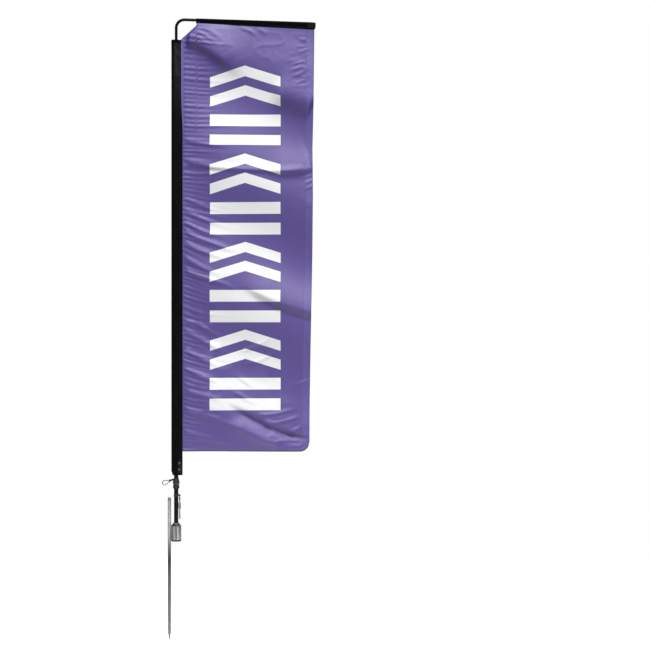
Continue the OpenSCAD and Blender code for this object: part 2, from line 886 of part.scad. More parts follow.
module cord_anchor() {
    band_foot = hook_pivot_z - anchor_h / 2;
    color([0.07, 0.07, 0.07])
        difference() {
            union() {
                ring_at(band_foot, pole_d + 2 * anchor_wall, pole_d + 2 * seat, anchor_h);
                translate([pole_x + pole_d / 2 + 0.4, -1.3, hook_pivot_z - 4])
                    cube([hook_x - pole_x - pole_d / 2 - 0.4, 2.6, 8]);
                translate([hook_x, 0, hook_pivot_z])
                    rotate([90, 0, 0])
                        cylinder(r = 4.2, h = 2.6, center = true);
            }
            translate([hook_x, 0, hook_pivot_z])
                rotate([90, 0, 0])
                    cylinder(r = lug_hole_r, h = 4, center = true);
        }
}

module hook_cord() {
    color([0.05, 0.05, 0.05])
        translate([hook_x, 0, 0]) {
            translate([0, 0, hook_pivot_z - cord_eye_r])
                rotate([0, 90, 0])
                    rotate_extrude()
                        translate([cord_eye_r, 0])
                            circle(d = cord_eye_d);
            translate([0, 0, cord_end])
                cylinder(d = cord_d, h = cord_top - cord_end);
        }
}

module cord_crimp() {
    crimp_h = 6;
    color("gray")
        translate([hook_x, 0, cord_top - cord_eye_d / 2 - 0.3 - crimp_h])
            difference() {
                cylinder(d = cord_d + 2.4, h = crimp_h);
                translate([0, 0, -eps])
                    cylinder(d = cord_d + 2 * seat, h = crimp_h + 2 * eps);
            }
}

module tension_hook() {
    barrel_foot = barrel_top - barrel_h;
    tip_l = 9;
    color("darkgray")
        translate([hook_x, 0, 0])
            difference() {
                union() {
                    translate([0, 0, barrel_foot + 3])
                        cylinder(d = barrel_d, h = barrel_h - 5);
                    translate([0, 0, barrel_foot])
                        cylinder(d1 = barrel_d - 3, d2 = barrel_d, h = 3);
                    translate([0, 0, barrel_top - 2])
                        cylinder(d1 = barrel_d, d2 = barrel_d - 2.4, h = 2);
                    translate([0, 0, hook_bend_z])
                        cylinder(d = hook_rod_d, h = barrel_foot - hook_bend_z + 1);
                    translate([0, hook_r, hook_bend_z])
                        rotate([0, 90, 0])
                            rotate([0, 0, -90])
                                rotate_extrude(angle = 180)
                                    translate([hook_r, 0])
                                        circle(d = hook_rod_d);
                    translate([0, 2 * hook_r, hook_bend_z])
                        cylinder(d = hook_rod_d, h = tip_l);
                    translate([0, 2 * hook_r, hook_bend_z + tip_l])
                        cylinder(d1 = hook_rod_d, d2 = hook_rod_d - 3, h = 1.5);
                }
                translate([0, 0, cord_end])
                    cylinder(d = cord_d + 2 * seat, h = barrel_top);
            }
}

ground_spike();
housing_welds();
bearing_housing();
bottom_plug();
dust_cap();
lower_outer_race();
upper_outer_race();
outer_spacer();
snap_ring();
lower_balls();
upper_balls();
lower_cage();
upper_cage();
spindle();
lower_inner_race();
upper_inner_race();
inner_spacer();
spindle_washer();
lock_nut();
spindle_o_rings();
lower_pole();
lower_ferrule();
middle_pole();
upper_ferrule();
corner_elbow();
top_arm();
arm_end_cap();
pole_sleeve();
top_sleeve();
arm_pocket();
flag_panel();
tail_webbing();
sleeve_eyelets();
elastic_strap();
cord_anchor();
tension_collar();
clamp_ring();
clamp_screw();
loop_pin();
loop_crimp();
pull_loop();
hook_cord();
cord_crimp();
tension_hook();
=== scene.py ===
import bpy
import numpy as np
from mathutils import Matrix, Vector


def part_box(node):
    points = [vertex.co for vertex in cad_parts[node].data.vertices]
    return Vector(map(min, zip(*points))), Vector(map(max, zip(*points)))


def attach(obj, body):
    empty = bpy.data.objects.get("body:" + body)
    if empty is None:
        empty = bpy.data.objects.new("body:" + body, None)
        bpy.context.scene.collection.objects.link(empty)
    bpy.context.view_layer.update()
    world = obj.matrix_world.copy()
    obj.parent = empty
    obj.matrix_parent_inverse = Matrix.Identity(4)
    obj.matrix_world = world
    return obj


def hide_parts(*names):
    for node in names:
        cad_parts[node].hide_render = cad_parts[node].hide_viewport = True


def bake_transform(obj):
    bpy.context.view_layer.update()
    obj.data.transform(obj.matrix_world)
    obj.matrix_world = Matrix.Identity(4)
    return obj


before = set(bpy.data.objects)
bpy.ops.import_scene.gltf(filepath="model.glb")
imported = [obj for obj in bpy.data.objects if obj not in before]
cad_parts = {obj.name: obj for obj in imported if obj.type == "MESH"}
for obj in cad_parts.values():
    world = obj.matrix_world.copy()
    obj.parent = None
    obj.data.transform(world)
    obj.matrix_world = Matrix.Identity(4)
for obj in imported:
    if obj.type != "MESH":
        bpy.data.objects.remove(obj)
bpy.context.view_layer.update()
print("frame loaded:", len(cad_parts), "nodes")

degree = np.pi / 180

studio = {
    "lens": 75.0, "sensor": 36.0,
    "middle": (0.647, 0.915), "viewWidth": 2.704,  # what the camera sees at the flag, in metres
    "ground": -0.4035,
    "skyLight": 0.10, "skySeen": 1.0,
    "keyPower": 2250.0, "keyPlace": (2.2, -6.2, 11.0), "keySize": (2.6, 2.6),
    "fillPower": 95.0, "fillPlace": (-4.6, -8.0, 2.4), "fillSize": (2.0, 4.0),
    "backPower": 1700.0, "backPlace": (3.4, 7.6, 8.4), "backSize": (3.0, 3.0),
    "aim": (0.3, 0, 1.1),  # where all three lamps point
}


def addCamera():
    data = bpy.data.cameras.new("studioCamera")
    data.lens, data.sensor_width = studio["lens"], studio["sensor"]
    eye = bpy.data.objects.new("studioCamera", data)
    far = studio["viewWidth"] * studio["lens"] / studio["sensor"]
    eye.location = (studio["middle"][0], -far, studio["middle"][1])
    eye.rotation_euler = (90 * degree, 0, 0)
    bpy.context.scene.collection.objects.link(eye)
    bpy.context.scene.camera = eye


def addSoftLight(name, power, place, size, aim):
    data = bpy.data.lights.new(name, "AREA")
    data.shape, data.energy = "RECTANGLE", power
    data.size, data.size_y = size
    lamp = bpy.data.objects.new(name, data)
    lamp.location = place
    towards = np.subtract(aim, place)
    flat = float(np.hypot(towards[0], towards[1]))
    turn = np.arctan2(towards[1], towards[0]) - 90 * degree
    lamp.rotation_euler = (float(np.arctan2(flat, -towards[2])), 0, float(turn))
    bpy.context.scene.collection.objects.link(lamp)


def addSky():
    # A white surround for the camera that gives a weaker, even light to the object.
    world = bpy.data.worlds.new("studioSky")
    world.use_nodes = True
    nodes, links = world.node_tree.nodes, world.node_tree.links
    sky = nodes["Background"]
    sky.inputs["Color"].default_value = (1, 1, 1, 1)
    path = nodes.new("ShaderNodeLightPath")
    power = nodes.new("ShaderNodeMapRange")
    power.inputs["To Min"].default_value = studio["skyLight"]
    power.inputs["To Max"].default_value = studio["skySeen"]
    links.new(path.outputs["Is Camera Ray"], power.inputs["Value"])
    links.new(power.outputs["Result"], sky.inputs["Strength"])
    bpy.context.scene.world = world


addCamera()
addSky()
for part in ("key", "fill", "back"):
    addSoftLight(part + "Light", studio[part + "Power"], studio[part + "Place"], studio[part + "Size"],
                 studio["aim"])
bpy.context.scene.view_settings.view_transform = "Standard"
print("camera, lights and sky made")


def put(tree, kind, **settings):
    made = tree.nodes.new(kind)
    for key, value in settings.items():
        setattr(made, key, value)
    return made


def feed(tree, socket, value):
    if isinstance(value, bpy.types.NodeSocket):
        tree.links.new(value, socket)
    elif value is not None:
        socket.default_value = value


def calc(tree, operation, *values, clamp=False):
    made = put(tree, "ShaderNodeMath", operation=operation, use_clamp=clamp)
    for socket, value in zip(made.inputs, values):
        feed(tree, socket, value)
    return made.outputs[0]


def mixColour(tree, share, first, second):
    made = put(tree, "ShaderNodeMix", data_type="RGBA")
    feed(tree, made.inputs[0], share)
    feed(tree, made.inputs[6], first)
    feed(tree, made.inputs[7], second)
    return made.outputs[2]


def noiseOf(tree, vector, scale, detail=3.0, rough=0.55):
    made = put(tree, "ShaderNodeTexNoise")
    feed(tree, made.inputs["Vector"], vector)
    for label, value in (("Scale", scale), ("Detail", detail), ("Roughness", rough)):
        feed(tree, made.inputs[label], value)
    return made.outputs[0]


def rampOf(tree, share, stops, interpolation="LINEAR"):
    made = put(tree, "ShaderNodeValToRGB")
    ramp = made.color_ramp
    ramp.interpolation = interpolation
    for index, (place, value) in enumerate(stops):
        stop = ramp.elements[index] if index < 2 else ramp.elements.new(place)
        stop.position = place
        stop.color = (value, value, value, 1)
    feed(tree, made.inputs[0], share)
    return made.outputs[0]


def newGroup(name, inputs, outputs):
    group = bpy.data.node_groups.new(name, "ShaderNodeTree")
    for label, kind, value in inputs:
        socket = group.interface.new_socket(label, in_out="INPUT", socket_type="NodeSocket" + kind)
        if value is not None:
            socket.default_value = value
    for label, kind in outputs:
        group.interface.new_socket(label, in_out="OUTPUT", socket_type="NodeSocket" + kind)
    return group, put(group, "NodeGroupInput").outputs, put(group, "NodeGroupOutput").inputs


def weaveGroup():
    # Plain weave: over and under threads, each a half sine, taken in turn like a chessboard.
    group, given, out = newGroup(
        "plainWeave",
        [("Vector", "Vector", None), ("Threads", "Float", 1800.0), ("Warp", "Float", 1.0)],
        [("Height", "Float"), ("Tint", "Float")],
    )
    split = put(group, "ShaderNodeSeparateXYZ")
    feed(group, split.inputs[0], given["Vector"])
    turn = calc(group, "MULTIPLY", given["Threads"], float(np.pi))
    across = calc(group, "SINE", calc(group, "MULTIPLY", split.outputs[0],
                                      calc(group, "MULTIPLY", turn, given["Warp"])))
    along = calc(group, "SINE", calc(group, "MULTIPLY", split.outputs[1], turn))
    over = calc(group, "GREATER_THAN", calc(group, "MULTIPLY", across, along), 0.0)
    first = calc(group, "MULTIPLY", calc(group, "ABSOLUTE", across), over)
    second = calc(group, "MULTIPLY", calc(group, "ABSOLUTE", along), calc(group, "SUBTRACT", 1.0, over))
    height = calc(group, "ADD", first, second)
    feed(group, out["Height"], height)
    # The tint is darker where the threads sink: a painted shade in the weave's hollows.
    feed(group, out["Tint"], calc(group, "MULTIPLY_ADD", height, 0.16, 0.9))
    return group


def wearGroup():
    # Cloudy and streaky noise: a mask for dust, stains or rubbed places, and a height that goes with it.
    group, given, out = newGroup(
        "wearAndGrain",
        [("Vector", "Vector", None), ("Scale", "Float", 40.0), ("Stretch", "Vector", (1, 1, 1)),
         ("Start", "Float", 0.45), ("End", "Float", 0.7)],
        [("Mask", "Float"), ("Height", "Float")],
    )
    pulled = put(group, "ShaderNodeVectorMath", operation="MULTIPLY")
    feed(group, pulled.inputs[0], given["Vector"])
    feed(group, pulled.inputs[1], given["Stretch"])
    cloud = noiseOf(group, pulled.outputs[0], given["Scale"], 5.0, 0.62)
    spread = put(group, "ShaderNodeMapRange")
    for label, value in (("Value", cloud), ("From Min", given["Start"]), ("From Max", given["End"])):
        feed(group, spread.inputs[label], value)
    feed(group, out["Mask"], spread.outputs["Result"])
    feed(group, out["Height"], cloud)
    return group


weave, wear = weaveGroup(), wearGroup()


def place(tree, group, **values):
    made = put(tree, "ShaderNodeGroup", node_tree=group)
    for label, value in values.items():
        feed(tree, made.inputs[label], value)
    return made.outputs


def newMaterial(name, metallic=0.0, **fixed):
    made = bpy.data.materials.new(name)
    made.use_nodes = True
    tree = made.node_tree
    shader = tree.nodes["Principled BSDF"]
    shader.inputs["Metallic"].default_value = metallic
    for label, value in fixed.items():
        shader.inputs[label.replace("_", " ")].default_value = value
    return made, tree, shader


def bumpInto(tree, shader, height, distance, strength=1.0):
    bump = put(tree, "ShaderNodeBump")
    bump.inputs["Distance"].default_value = distance
    bump.inputs["Strength"].default_value = strength
    feed(tree, bump.inputs["Height"], height)
    feed(tree, shader.inputs["Normal"], bump.outputs[0])


def rgba(red, green, blue):
    return (red, green, blue, 1.0)

sleeveLow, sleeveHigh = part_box("pole_sleeve")
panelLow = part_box("flag_panel")[0]
poleLow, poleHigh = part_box("lower_pole")
poleX = (poleLow.x + poleHigh.x) / 2

printing = {
    "left": 0.168, "right": 0.462, "foot": 0.560, "head": 2.000,
    "bars": [(0.584, 0.048), (0.666, 0.048), (0.950, 0.048), (1.032, 0.048), (1.316, 0.048), (1.398, 0.048),
             (1.682, 0.048), (1.764, 0.048)],  # middle height and stroke
    "chevrons": [(0.792, 0.046), (0.871, 0.046), (1.158, 0.046), (1.237, 0.046), (1.524, 0.046),
                 (1.603, 0.046),
                 (1.890, 0.046), (1.969, 0.046)],
    "rise": 0.046,  # how much higher a chevron's middle is than its ends
}
flagLook = {
    "purple": rgba(0.076, 0.045, 0.240), "deepPurple": rgba(0.060, 0.034, 0.212),
    "hemPurple": rgba(0.082, 0.050, 0.252), "footShadePurple": rgba(0.030, 0.020, 0.085),
    "print": rgba(0.74, 0.745, 0.75),
    "threads": 1500.0,
}


def strokeMask(tree, height, strokes, span):
    # One constant ramp up the flag: white inside each stroke, dark between.
    stops = [(0.0, 0.0)]
    for middle, stroke in strokes:
        low, high = ((middle + side * stroke / 2 - span[0]) / (span[1] - span[0]) for side in (-1, 1))
        stops += [(low, 1.0), (high, 0.0)]
    share = put(tree, "ShaderNodeMapRange", clamp=True)
    feed(tree, share.inputs["Value"], height)
    share.inputs["From Min"].default_value, share.inputs["From Max"].default_value = span
    return rampOf(tree, share.outputs["Result"], stops, "CONSTANT")


def printMask(tree, vector):
    # Bars are strokes at fixed heights. A chevron's height falls off away from the middle.
    split = put(tree, "ShaderNodeSeparateXYZ")
    feed(tree, split.inputs[0], vector)
    across, height = split.outputs[0], split.outputs[1]
    middle, half = (printing["left"] + printing["right"]) / 2, (printing["right"] - printing["left"]) / 2
    off = calc(tree, "ABSOLUTE", calc(tree, "SUBTRACT", across, middle))
    span = (printing["foot"] - 0.06, printing["head"] + 0.06)
    bent = calc(tree, "MULTIPLY_ADD", off, printing["rise"] / half, height)
    strokes = calc(tree, "MAXIMUM", strokeMask(tree, height, printing["bars"], span),
                   strokeMask(tree, bent, printing["chevrons"], span))
    return calc(tree, "MULTIPLY", strokes, calc(tree, "LESS_THAN", off, half))


def flagMaterial():
    made, tree, shader = newMaterial("flagSatin", Specular_IOR_Level=1.0)
    flat = put(tree, "ShaderNodeUVMap", uv_map="cut").outputs[0]
    threads = place(tree, weave, Vector=flat, Threads=flagLook["threads"])
    cloud = noiseOf(tree, flat, 7.0, 3.0)
    purple = mixColour(tree, cloud, flagLook["purple"], flagLook["deepPurple"])
    hem = put(tree, "ShaderNodeAttribute", attribute_name="hem").outputs["Fac"]
    purple = mixColour(tree, calc(tree, "MINIMUM", hem, 1.0), purple, flagLook["hemPurple"])
    # Where hem passes 1 the colour goes to a painted shade: a dark line along the foot's bottom edge.
    footEdgeShade = calc(tree, "SUBTRACT", hem, 1.0, clamp=True)
    purple = mixColour(tree, footEdgeShade, purple, flagLook["footShadePurple"])
    printed = mixColour(tree, printMask(tree, flat), purple, flagLook["print"])
    # The colour is multiplied by the weave's painted hollow shade.
    shaded = put(tree, "ShaderNodeMix", data_type="RGBA", blend_type="MULTIPLY")
    shaded.inputs[0].default_value = 0.5
    feed(tree, shaded.inputs[6], printed)
    feed(tree, shaded.inputs[7], threads["Tint"])
    feed(tree, shader.inputs["Base Color"], shaded.outputs[2])
    feed(tree, shader.inputs["Roughness"], calc(tree, "MULTIPLY_ADD", cloud, 0.10, 0.50))
    crumple = noiseOf(tree, flat, 55.0, 4.0, 0.6)
    creased = calc(tree, "MULTIPLY", crumple, 4.0)
    bumpInto(tree, shader, calc(tree, "ADD", threads["Height"], creased), 0.00022, 0.7)
    return made


def blackClothMaterial(name, threads, colour, dusty, warp=1.0, rough=0.5, sheen=0.01):
    made, tree, shader = newMaterial(name, Sheen_Weight=sheen, Sheen_Roughness=0.4, Specular_IOR_Level=0.06)
    flat = put(tree, "ShaderNodeUVMap", uv_map="cut").outputs[0]
    cloth = place(tree, weave, Vector=flat, Threads=threads, Warp=warp)
    worn = place(tree, wear, Vector=flat, Scale=26.0, Stretch=(1.0, 0.35, 1.0), Start=0.42, End=0.75)
    base = mixColour(tree, worn["Mask"], colour, dusty)
    # On the pole sleeve the hem attribute carries painted light: its crumpled top is made a lighter grey in
    # colour.
    paintedLight = put(tree, "ShaderNodeAttribute", attribute_name="hem").outputs["Fac"]
    base = mixColour(tree, paintedLight, base, rgba(0.020, 0.019, 0.023))
    # The colour is multiplied by the weave's painted hollow shade.
    shaded = put(tree, "ShaderNodeMix", data_type="RGBA", blend_type="MULTIPLY")
    shaded.inputs[0].default_value = 1.0
    feed(tree, shaded.inputs[6], base)
    feed(tree, shaded.inputs[7], cloth["Tint"])
    feed(tree, shader.inputs["Base Color"], shaded.outputs[2])
    feed(tree, shader.inputs["Roughness"], calc(tree, "MULTIPLY_ADD", worn["Height"], 0.2, rough))
    bumpInto(tree, shader, calc(tree, "MULTIPLY_ADD", worn["Height"], 1.5, cloth["Height"]), 0.0003, 0.8)
    return made


def solidMaterial(name, colour, second, metallic, rough, scale, stretch, bump, spread=(0.42, 0.72),
                  swing=0.15, **fixed):
    # Two tones mixed by stretched noise, with the same noise in the roughness and the bump: close tones for
    # grain, and on the housing far apart, as painted reflection streaks.
    made, tree, shader = newMaterial(name, metallic, **fixed)
    here = put(tree, "ShaderNodeTexCoord").outputs["Object"]
    centred = put(tree, "ShaderNodeMapping", vector_type="POINT")
    centred.inputs["Location"].default_value = (-poleX, 0, 0)
    feed(tree, centred.inputs["Vector"], here)
    grainAndPaintedReflection = place(tree, wear, Vector=centred.outputs[0], Scale=scale, Stretch=stretch, Start=spread[0],
                  End=spread[1])
    feed(tree, shader.inputs["Base Color"], mixColour(tree, grainAndPaintedReflection["Mask"], colour, second))
    feed(tree, shader.inputs["Roughness"], calc(tree, "MULTIPLY_ADD", grainAndPaintedReflection["Mask"], swing, rough))
    bumpInto(tree, shader, grainAndPaintedReflection["Height"], bump, 0.6)
    return made


def spikeMaterial():
    # Bright zinc above the ground, darker and rougher at its very top, browner and rougher further down, with
    # runs of stain along the rod.
    made, tree, shader = newMaterial("spikeZinc", 0.85)
    here = put(tree, "ShaderNodeTexCoord").outputs["Object"]
    split = put(tree, "ShaderNodeSeparateXYZ")
    feed(tree, split.inputs[0], here)
    depth = put(tree, "ShaderNodeMapRange", clamp=True)
    feed(tree, depth.inputs["Value"], split.outputs[2])
    depth.inputs["From Min"].default_value, depth.inputs["From Max"].default_value = 0.20, -0.42
    # The first stops darken the very top of the spike; the lower stops are the stain.
    stain = rampOf(tree, depth.outputs["Result"],
                   [(0.0, 0.75), (0.02, 0.6), (0.045, 0.0), (0.16, 0.0), (0.245, 0.18), (0.33, 0.72),
                    (0.42, 1.0),
                    (0.555, 0.92), (0.715, 0.84), (1.0, 0.78)])
    runs = place(tree, wear, Vector=here, Scale=60.0, Stretch=(1.0, 1.0, 0.12), Start=0.3, End=0.8)
    spots = place(tree, wear, Vector=here, Scale=240.0, Stretch=(1.0, 1.0, 0.6), Start=0.5, End=0.7)
    stainAndDarkTop = calc(tree, "MULTIPLY", stain, calc(tree, "MULTIPLY_ADD", runs["Mask"], 0.30, 0.86), clamp=True)
    zinc = mixColour(tree, spots["Mask"], rgba(0.64, 0.63, 0.66), rgba(0.46, 0.45, 0.48))
    feed(tree, shader.inputs["Base Color"], mixColour(tree, stainAndDarkTop, zinc, rgba(0.024, 0.016, 0.021)))
    feed(tree, shader.inputs["Roughness"], calc(tree, "MULTIPLY_ADD", stainAndDarkTop, 0.14, 0.48))
    feed(tree, shader.inputs["Metallic"], calc(tree, "MULTIPLY_ADD", stainAndDarkTop, -0.4, 0.9))
    bumpInto(tree, shader, calc(tree, "ADD", spots["Height"], runs["Height"]), 0.00025, 0.6)
    return made


def braidMaterial(name, colour, second, turns, rough):
    # Two sets of strands crossing over the cord's own surface: u runs round it and v along it.
    made, tree, shader = newMaterial(name, 0.0, Sheen_Weight=0.2)
    flat = put(tree, "ShaderNodeUVMap", uv_map="cut").outputs[0]
    split = put(tree, "ShaderNodeSeparateXYZ")
    feed(tree, split.inputs[0], flat)
    strands = []
    for side in (-1, 1):
        phase = calc(tree, "MULTIPLY_ADD", split.outputs[1], side * turns,
                     calc(tree, "MULTIPLY", split.outputs[0], 8.0))
        strands.append(calc(tree, "ABSOLUTE",
                            calc(tree, "SINE", calc(tree, "MULTIPLY", phase, float(np.pi)))))
    height = calc(tree, "MULTIPLY", strands[0], strands[1])
    feed(tree, shader.inputs["Base Color"], mixColour(tree, height, second, colour))
    feed(tree, shader.inputs["Roughness"], calc(tree, "MULTIPLY_ADD", height, -0.1, rough))
    bumpInto(tree, shader, height, 0.0004)
    return made


def wireMaterial():
    # Steel wire strands laid round the loop under a thin grey coat.
    made, tree, shader = newMaterial("loopWire", 0.25, Coat_Weight=0.1, Coat_Roughness=0.4)
    here = put(tree, "ShaderNodeTexCoord").outputs["Object"]
    strands = put(tree, "ShaderNodeTexWave", wave_type="BANDS", bands_direction="DIAGONAL")
    feed(tree, strands.inputs["Vector"], here)
    strands.inputs["Scale"].default_value, strands.inputs["Distortion"].default_value = 380.0, 0.6
    height = strands.outputs["Fac"]
    feed(tree, shader.inputs["Base Color"],
         mixColour(tree, height, rgba(0.085, 0.085, 0.09), rgba(0.135, 0.135, 0.14)))
    feed(tree, shader.inputs["Roughness"], calc(tree, "MULTIPLY_ADD", height, -0.12, 0.46))
    bumpInto(tree, shader, height, 0.0003)
    return made


looks = {
    "flag": flagMaterial(),
    "sleeve": blackClothMaterial("sleeveOxford", 1100.0, rgba(0.0014, 0.0014, 0.0014),
                                 rgba(0.0040, 0.0040, 0.0048),
                                 rough=0.62),
    "webbing": blackClothMaterial("ribbedWebbing", 620.0, rgba(0.006, 0.006, 0.006),
                                  rgba(0.018, 0.018, 0.02), 0.45, 0.6),
    "elastic": blackClothMaterial("ribbedElastic", 900.0, rgba(0.005, 0.005, 0.005), rgba(0.02, 0.02, 0.02),
                                  0.3, 0.65),
    "thread": solidMaterial("blackThread", rgba(0.012, 0.012, 0.013), rgba(0.03, 0.03, 0.032), 0.0, 0.6,
                            900.0,
                            (1, 1, 1), 0.0001),
    "paleThread": solidMaterial("purpleThread", rgba(0.30, 0.26, 0.52), rgba(0.22, 0.18, 0.42), 0.0, 0.55,
                                900.0,
                                (1, 1, 1), 0.0001),
    "cord": braidMaterial("braidedElastic", rgba(0.016, 0.016, 0.017), rgba(0.002, 0.002, 0.002), 340.0,
                          0.62),
    "spike": spikeMaterial(),
    # Painted reflections: bright and dark streaks up the housing, mixed into its colour.
    "housing": solidMaterial("housingPaintedReflection", rgba(0.78, 0.775, 0.80), rgba(0.12, 0.115, 0.135), 0.9, 0.26,
                             92.0,
                             (1.0, 1.0, 0.03), 0.0001, (0.40, 0.62), 0.12),
    "flange": solidMaterial("turnedFlange", rgba(0.20, 0.20, 0.21), rgba(0.14, 0.14, 0.145), 0.5, 0.52, 200.0,
                            (1, 1, 6), 0.0001),
    "cap": solidMaterial("darkCap", rgba(0.034, 0.034, 0.038), rgba(0.014, 0.013, 0.016), 0.2, 0.50, 70.0,
                         (1.0, 1.0, 0.4), 0.0001, (0.40, 0.60), 0.15, Specular_IOR_Level=0.3),
    "oxide": solidMaterial("blackOxide", rgba(0.018, 0.018, 0.019), rgba(0.05, 0.05, 0.052), 0.6, 0.36, 200.0,
                           (0.5, 0.5, 4.0), 0.0002, (0.45, 0.75)),
    "darkSteel": solidMaterial("turnedSteel", rgba(0.30, 0.30, 0.31), rgba(0.15, 0.145, 0.15), 0.9, 0.34,
                               90.0,
                               (0.4, 0.4, 6.0), 0.0002, (0.4, 0.75)),
    "weld": solidMaterial("weldBead", rgba(0.26, 0.25, 0.26), rgba(0.09, 0.085, 0.09), 0.85, 0.42, 130.0,
                          (0.6, 0.6, 2.6), 0.0009, (0.35, 0.65)),
    "bearing": solidMaterial("bearingSteel", rgba(0.62, 0.62, 0.64), rgba(0.50, 0.50, 0.52), 1.0, 0.14, 200.0,
                             (1, 1, 8), 0.00005),
    "brass": solidMaterial("cageBrass", rgba(0.60, 0.42, 0.14), rgba(0.42, 0.28, 0.09), 1.0, 0.3, 120.0,
                           (1, 1, 1), 0.0001),
    "pole": solidMaterial("blackPole", rgba(0.003, 0.003, 0.0033), rgba(0.008, 0.008, 0.009), 0.0, 0.30,
                          120.0,
                          (1, 1, 0.04), 0.0001, (0.45, 0.8), 0.2, Specular_IOR_Level=0.2, Coat_Weight=0.05,
                          Coat_Roughness=0.3),
    "arm": solidMaterial("blackArm", rgba(0.003, 0.003, 0.0033), rgba(0.008, 0.008, 0.009), 0.0, 0.32, 120.0,
                         (0.04, 1, 1), 0.0001, (0.45, 0.8), 0.2, Specular_IOR_Level=0.2, Coat_Weight=0.05,
                         Coat_Roughness=0.3),
    "collar": solidMaterial("mouldedCollar", rgba(0.007, 0.007, 0.0075), rgba(0.02, 0.02, 0.021), 0.0, 0.42,
                            420.0,
                            (1, 1, 1), 0.0002, (0.4, 0.7), 0.2),
    "nickel": solidMaterial("polishedNickel", rgba(0.72, 0.70, 0.66), rgba(0.52, 0.50, 0.47), 1.0, 0.16,
                            260.0,
                            (1, 1, 1), 0.00008, (0.5, 0.8)),
    "rubber": solidMaterial("blackRubber", rgba(0.01, 0.01, 0.01), rgba(0.022, 0.022, 0.022), 0.0, 0.7, 300.0,
                            (1, 1, 1), 0.0001),
    "wire": wireMaterial(),
    "hook": solidMaterial("greyHook", rgba(0.27, 0.275, 0.285), rgba(0.16, 0.165, 0.17), 0.35, 0.38, 210.0,
                          (1, 1, 0.5), 0.0003, (0.4, 0.75), 0.2),
}

nodeLooks = {
    "spike": ["ground_spike"],
    "weld": ["housing_welds"],
    "housing": ["bearing_housing"],
    "flange": ["spindle"],
    "cap": ["dust_cap", "bottom_plug"],
    "oxide": ["clamp_ring", "cord_crimp"],
    "darkSteel": ["snap_ring", "spindle_washer", "lock_nut", "outer_spacer", "inner_spacer"],
    "bearing": ["lower_outer_race", "upper_outer_race", "lower_inner_race", "upper_inner_race", "lower_balls",
                "upper_balls"],
    "brass": ["lower_cage", "upper_cage"],
    "rubber": ["spindle_o_rings", "loop_crimp", "cord_anchor"],
    "pole": ["lower_pole", "lower_ferrule", "middle_pole", "upper_ferrule", "corner_elbow"],
    "arm": ["top_arm", "arm_end_cap"],
    "collar": ["tension_collar"],
    "nickel": ["sleeve_eyelets", "clamp_screw", "loop_pin"],
    "wire": ["pull_loop"],
    "hook": ["tension_hook"],
}
for look, names in nodeLooks.items():
    for name in names:
        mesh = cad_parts[name].data
        mesh.materials.clear()
        mesh.materials.append(looks[look])
print("materials made:", len(looks))


def smoothStep(value):
    value = np.clip(value, 0.0, 1.0)
    return value * value * (3 - 2 * value)


def gridMesh(name, points, flat, look, wrapped=False, drop=None, hem=None):
    # points and flat are grids of rows by columns. Faces join each point to its right and upper neighbours,
    # and the columns close on themselves where the surface is wrapped.
    rows, columns = points.shape[:2]
    index = np.arange(rows * columns).reshape(rows, columns)
    right = np.roll(index, -1, axis=1) if wrapped else index[:, 1:]
    left = index if wrapped else index[:, :-1]
    quads = np.stack([left[:-1], right[:-1], right[1:], left[1:]], axis=-1).reshape(-1, 4)
    if drop is not None:
        middles = points.reshape(-1, 3)[quads].mean(axis=1)
        quads = quads[~drop(middles)]
        used, quads = np.unique(quads, return_inverse=True)
        quads = quads.reshape(-1, 4)
    else:
        used = np.arange(rows * columns)
    mesh = bpy.data.meshes.new(name)
    mesh.from_pydata(points.reshape(-1, 3)[used], [], quads)
    layer = mesh.uv_layers.new(name="cut")
    layer.data.foreach_set("uv", flat.reshape(-1, 2)[used][quads.ravel()].astype(np.float32).ravel())
    # The hem attribute marks the flag's hems, and on the pole sleeve it carries painted light on the crumpled
    # top.
    if hem is not None:
        shade = mesh.attributes.new("hem", "FLOAT", "POINT")
        shade.data.foreach_set("value", hem.reshape(-1)[used].astype(np.float32))
    mesh.polygons.foreach_set("use_smooth", np.ones(len(quads), bool))
    mesh.materials.append(looks[look])
    mesh.validate()
    piece = bpy.data.objects.new(name, mesh)
    bpy.context.scene.collection.objects.link(piece)
    return piece


def addWall(piece, thickness, offset=0.0):
    wall = piece.modifiers.new("wall", "SOLIDIFY")
    wall.thickness, wall.offset, wall.use_even_offset = thickness, offset, False


def stitchMesh(name, rows, look, size):
    # Each stitch is a slim eight-sided lozenge, two ends and a ring of four, laid along its seam.
    middles, alongs, outs = (np.concatenate([row[k] for row in rows]) for k in range(3))
    length, width, height = size
    alongs = alongs / np.linalg.norm(alongs, axis=1, keepdims=True)
    outs = outs - (outs * alongs).sum(1, keepdims=True) * alongs
    outs = outs / np.linalg.norm(outs, axis=1, keepdims=True)
    sides = np.cross(alongs, outs)
    corners = np.stack([
        middles - alongs * length / 2, middles + sides * width / 2, middles + outs * height / 2,
        middles - sides * width / 2, middles - outs * height / 2, middles + alongs * length / 2,
    ], axis=1)
    facets = np.array([[0, 1, 2], [0, 2, 3], [0, 3, 4], [0, 4, 1], [5, 2, 1], [5, 3, 2], [5, 4, 3],
                       [5, 1, 4]])
    faces = (np.arange(len(middles))[:, None, None] * 6 + facets).reshape(-1, 3)
    mesh = bpy.data.meshes.new(name)
    mesh.from_pydata(corners.reshape(-1, 3), [], faces)
    mesh.polygons.foreach_set("use_smooth", np.ones(len(faces), bool))
    mesh.materials.append(looks[look])
    piece = bpy.data.objects.new(name, mesh)
    bpy.context.scene.collection.objects.link(piece)
    return piece


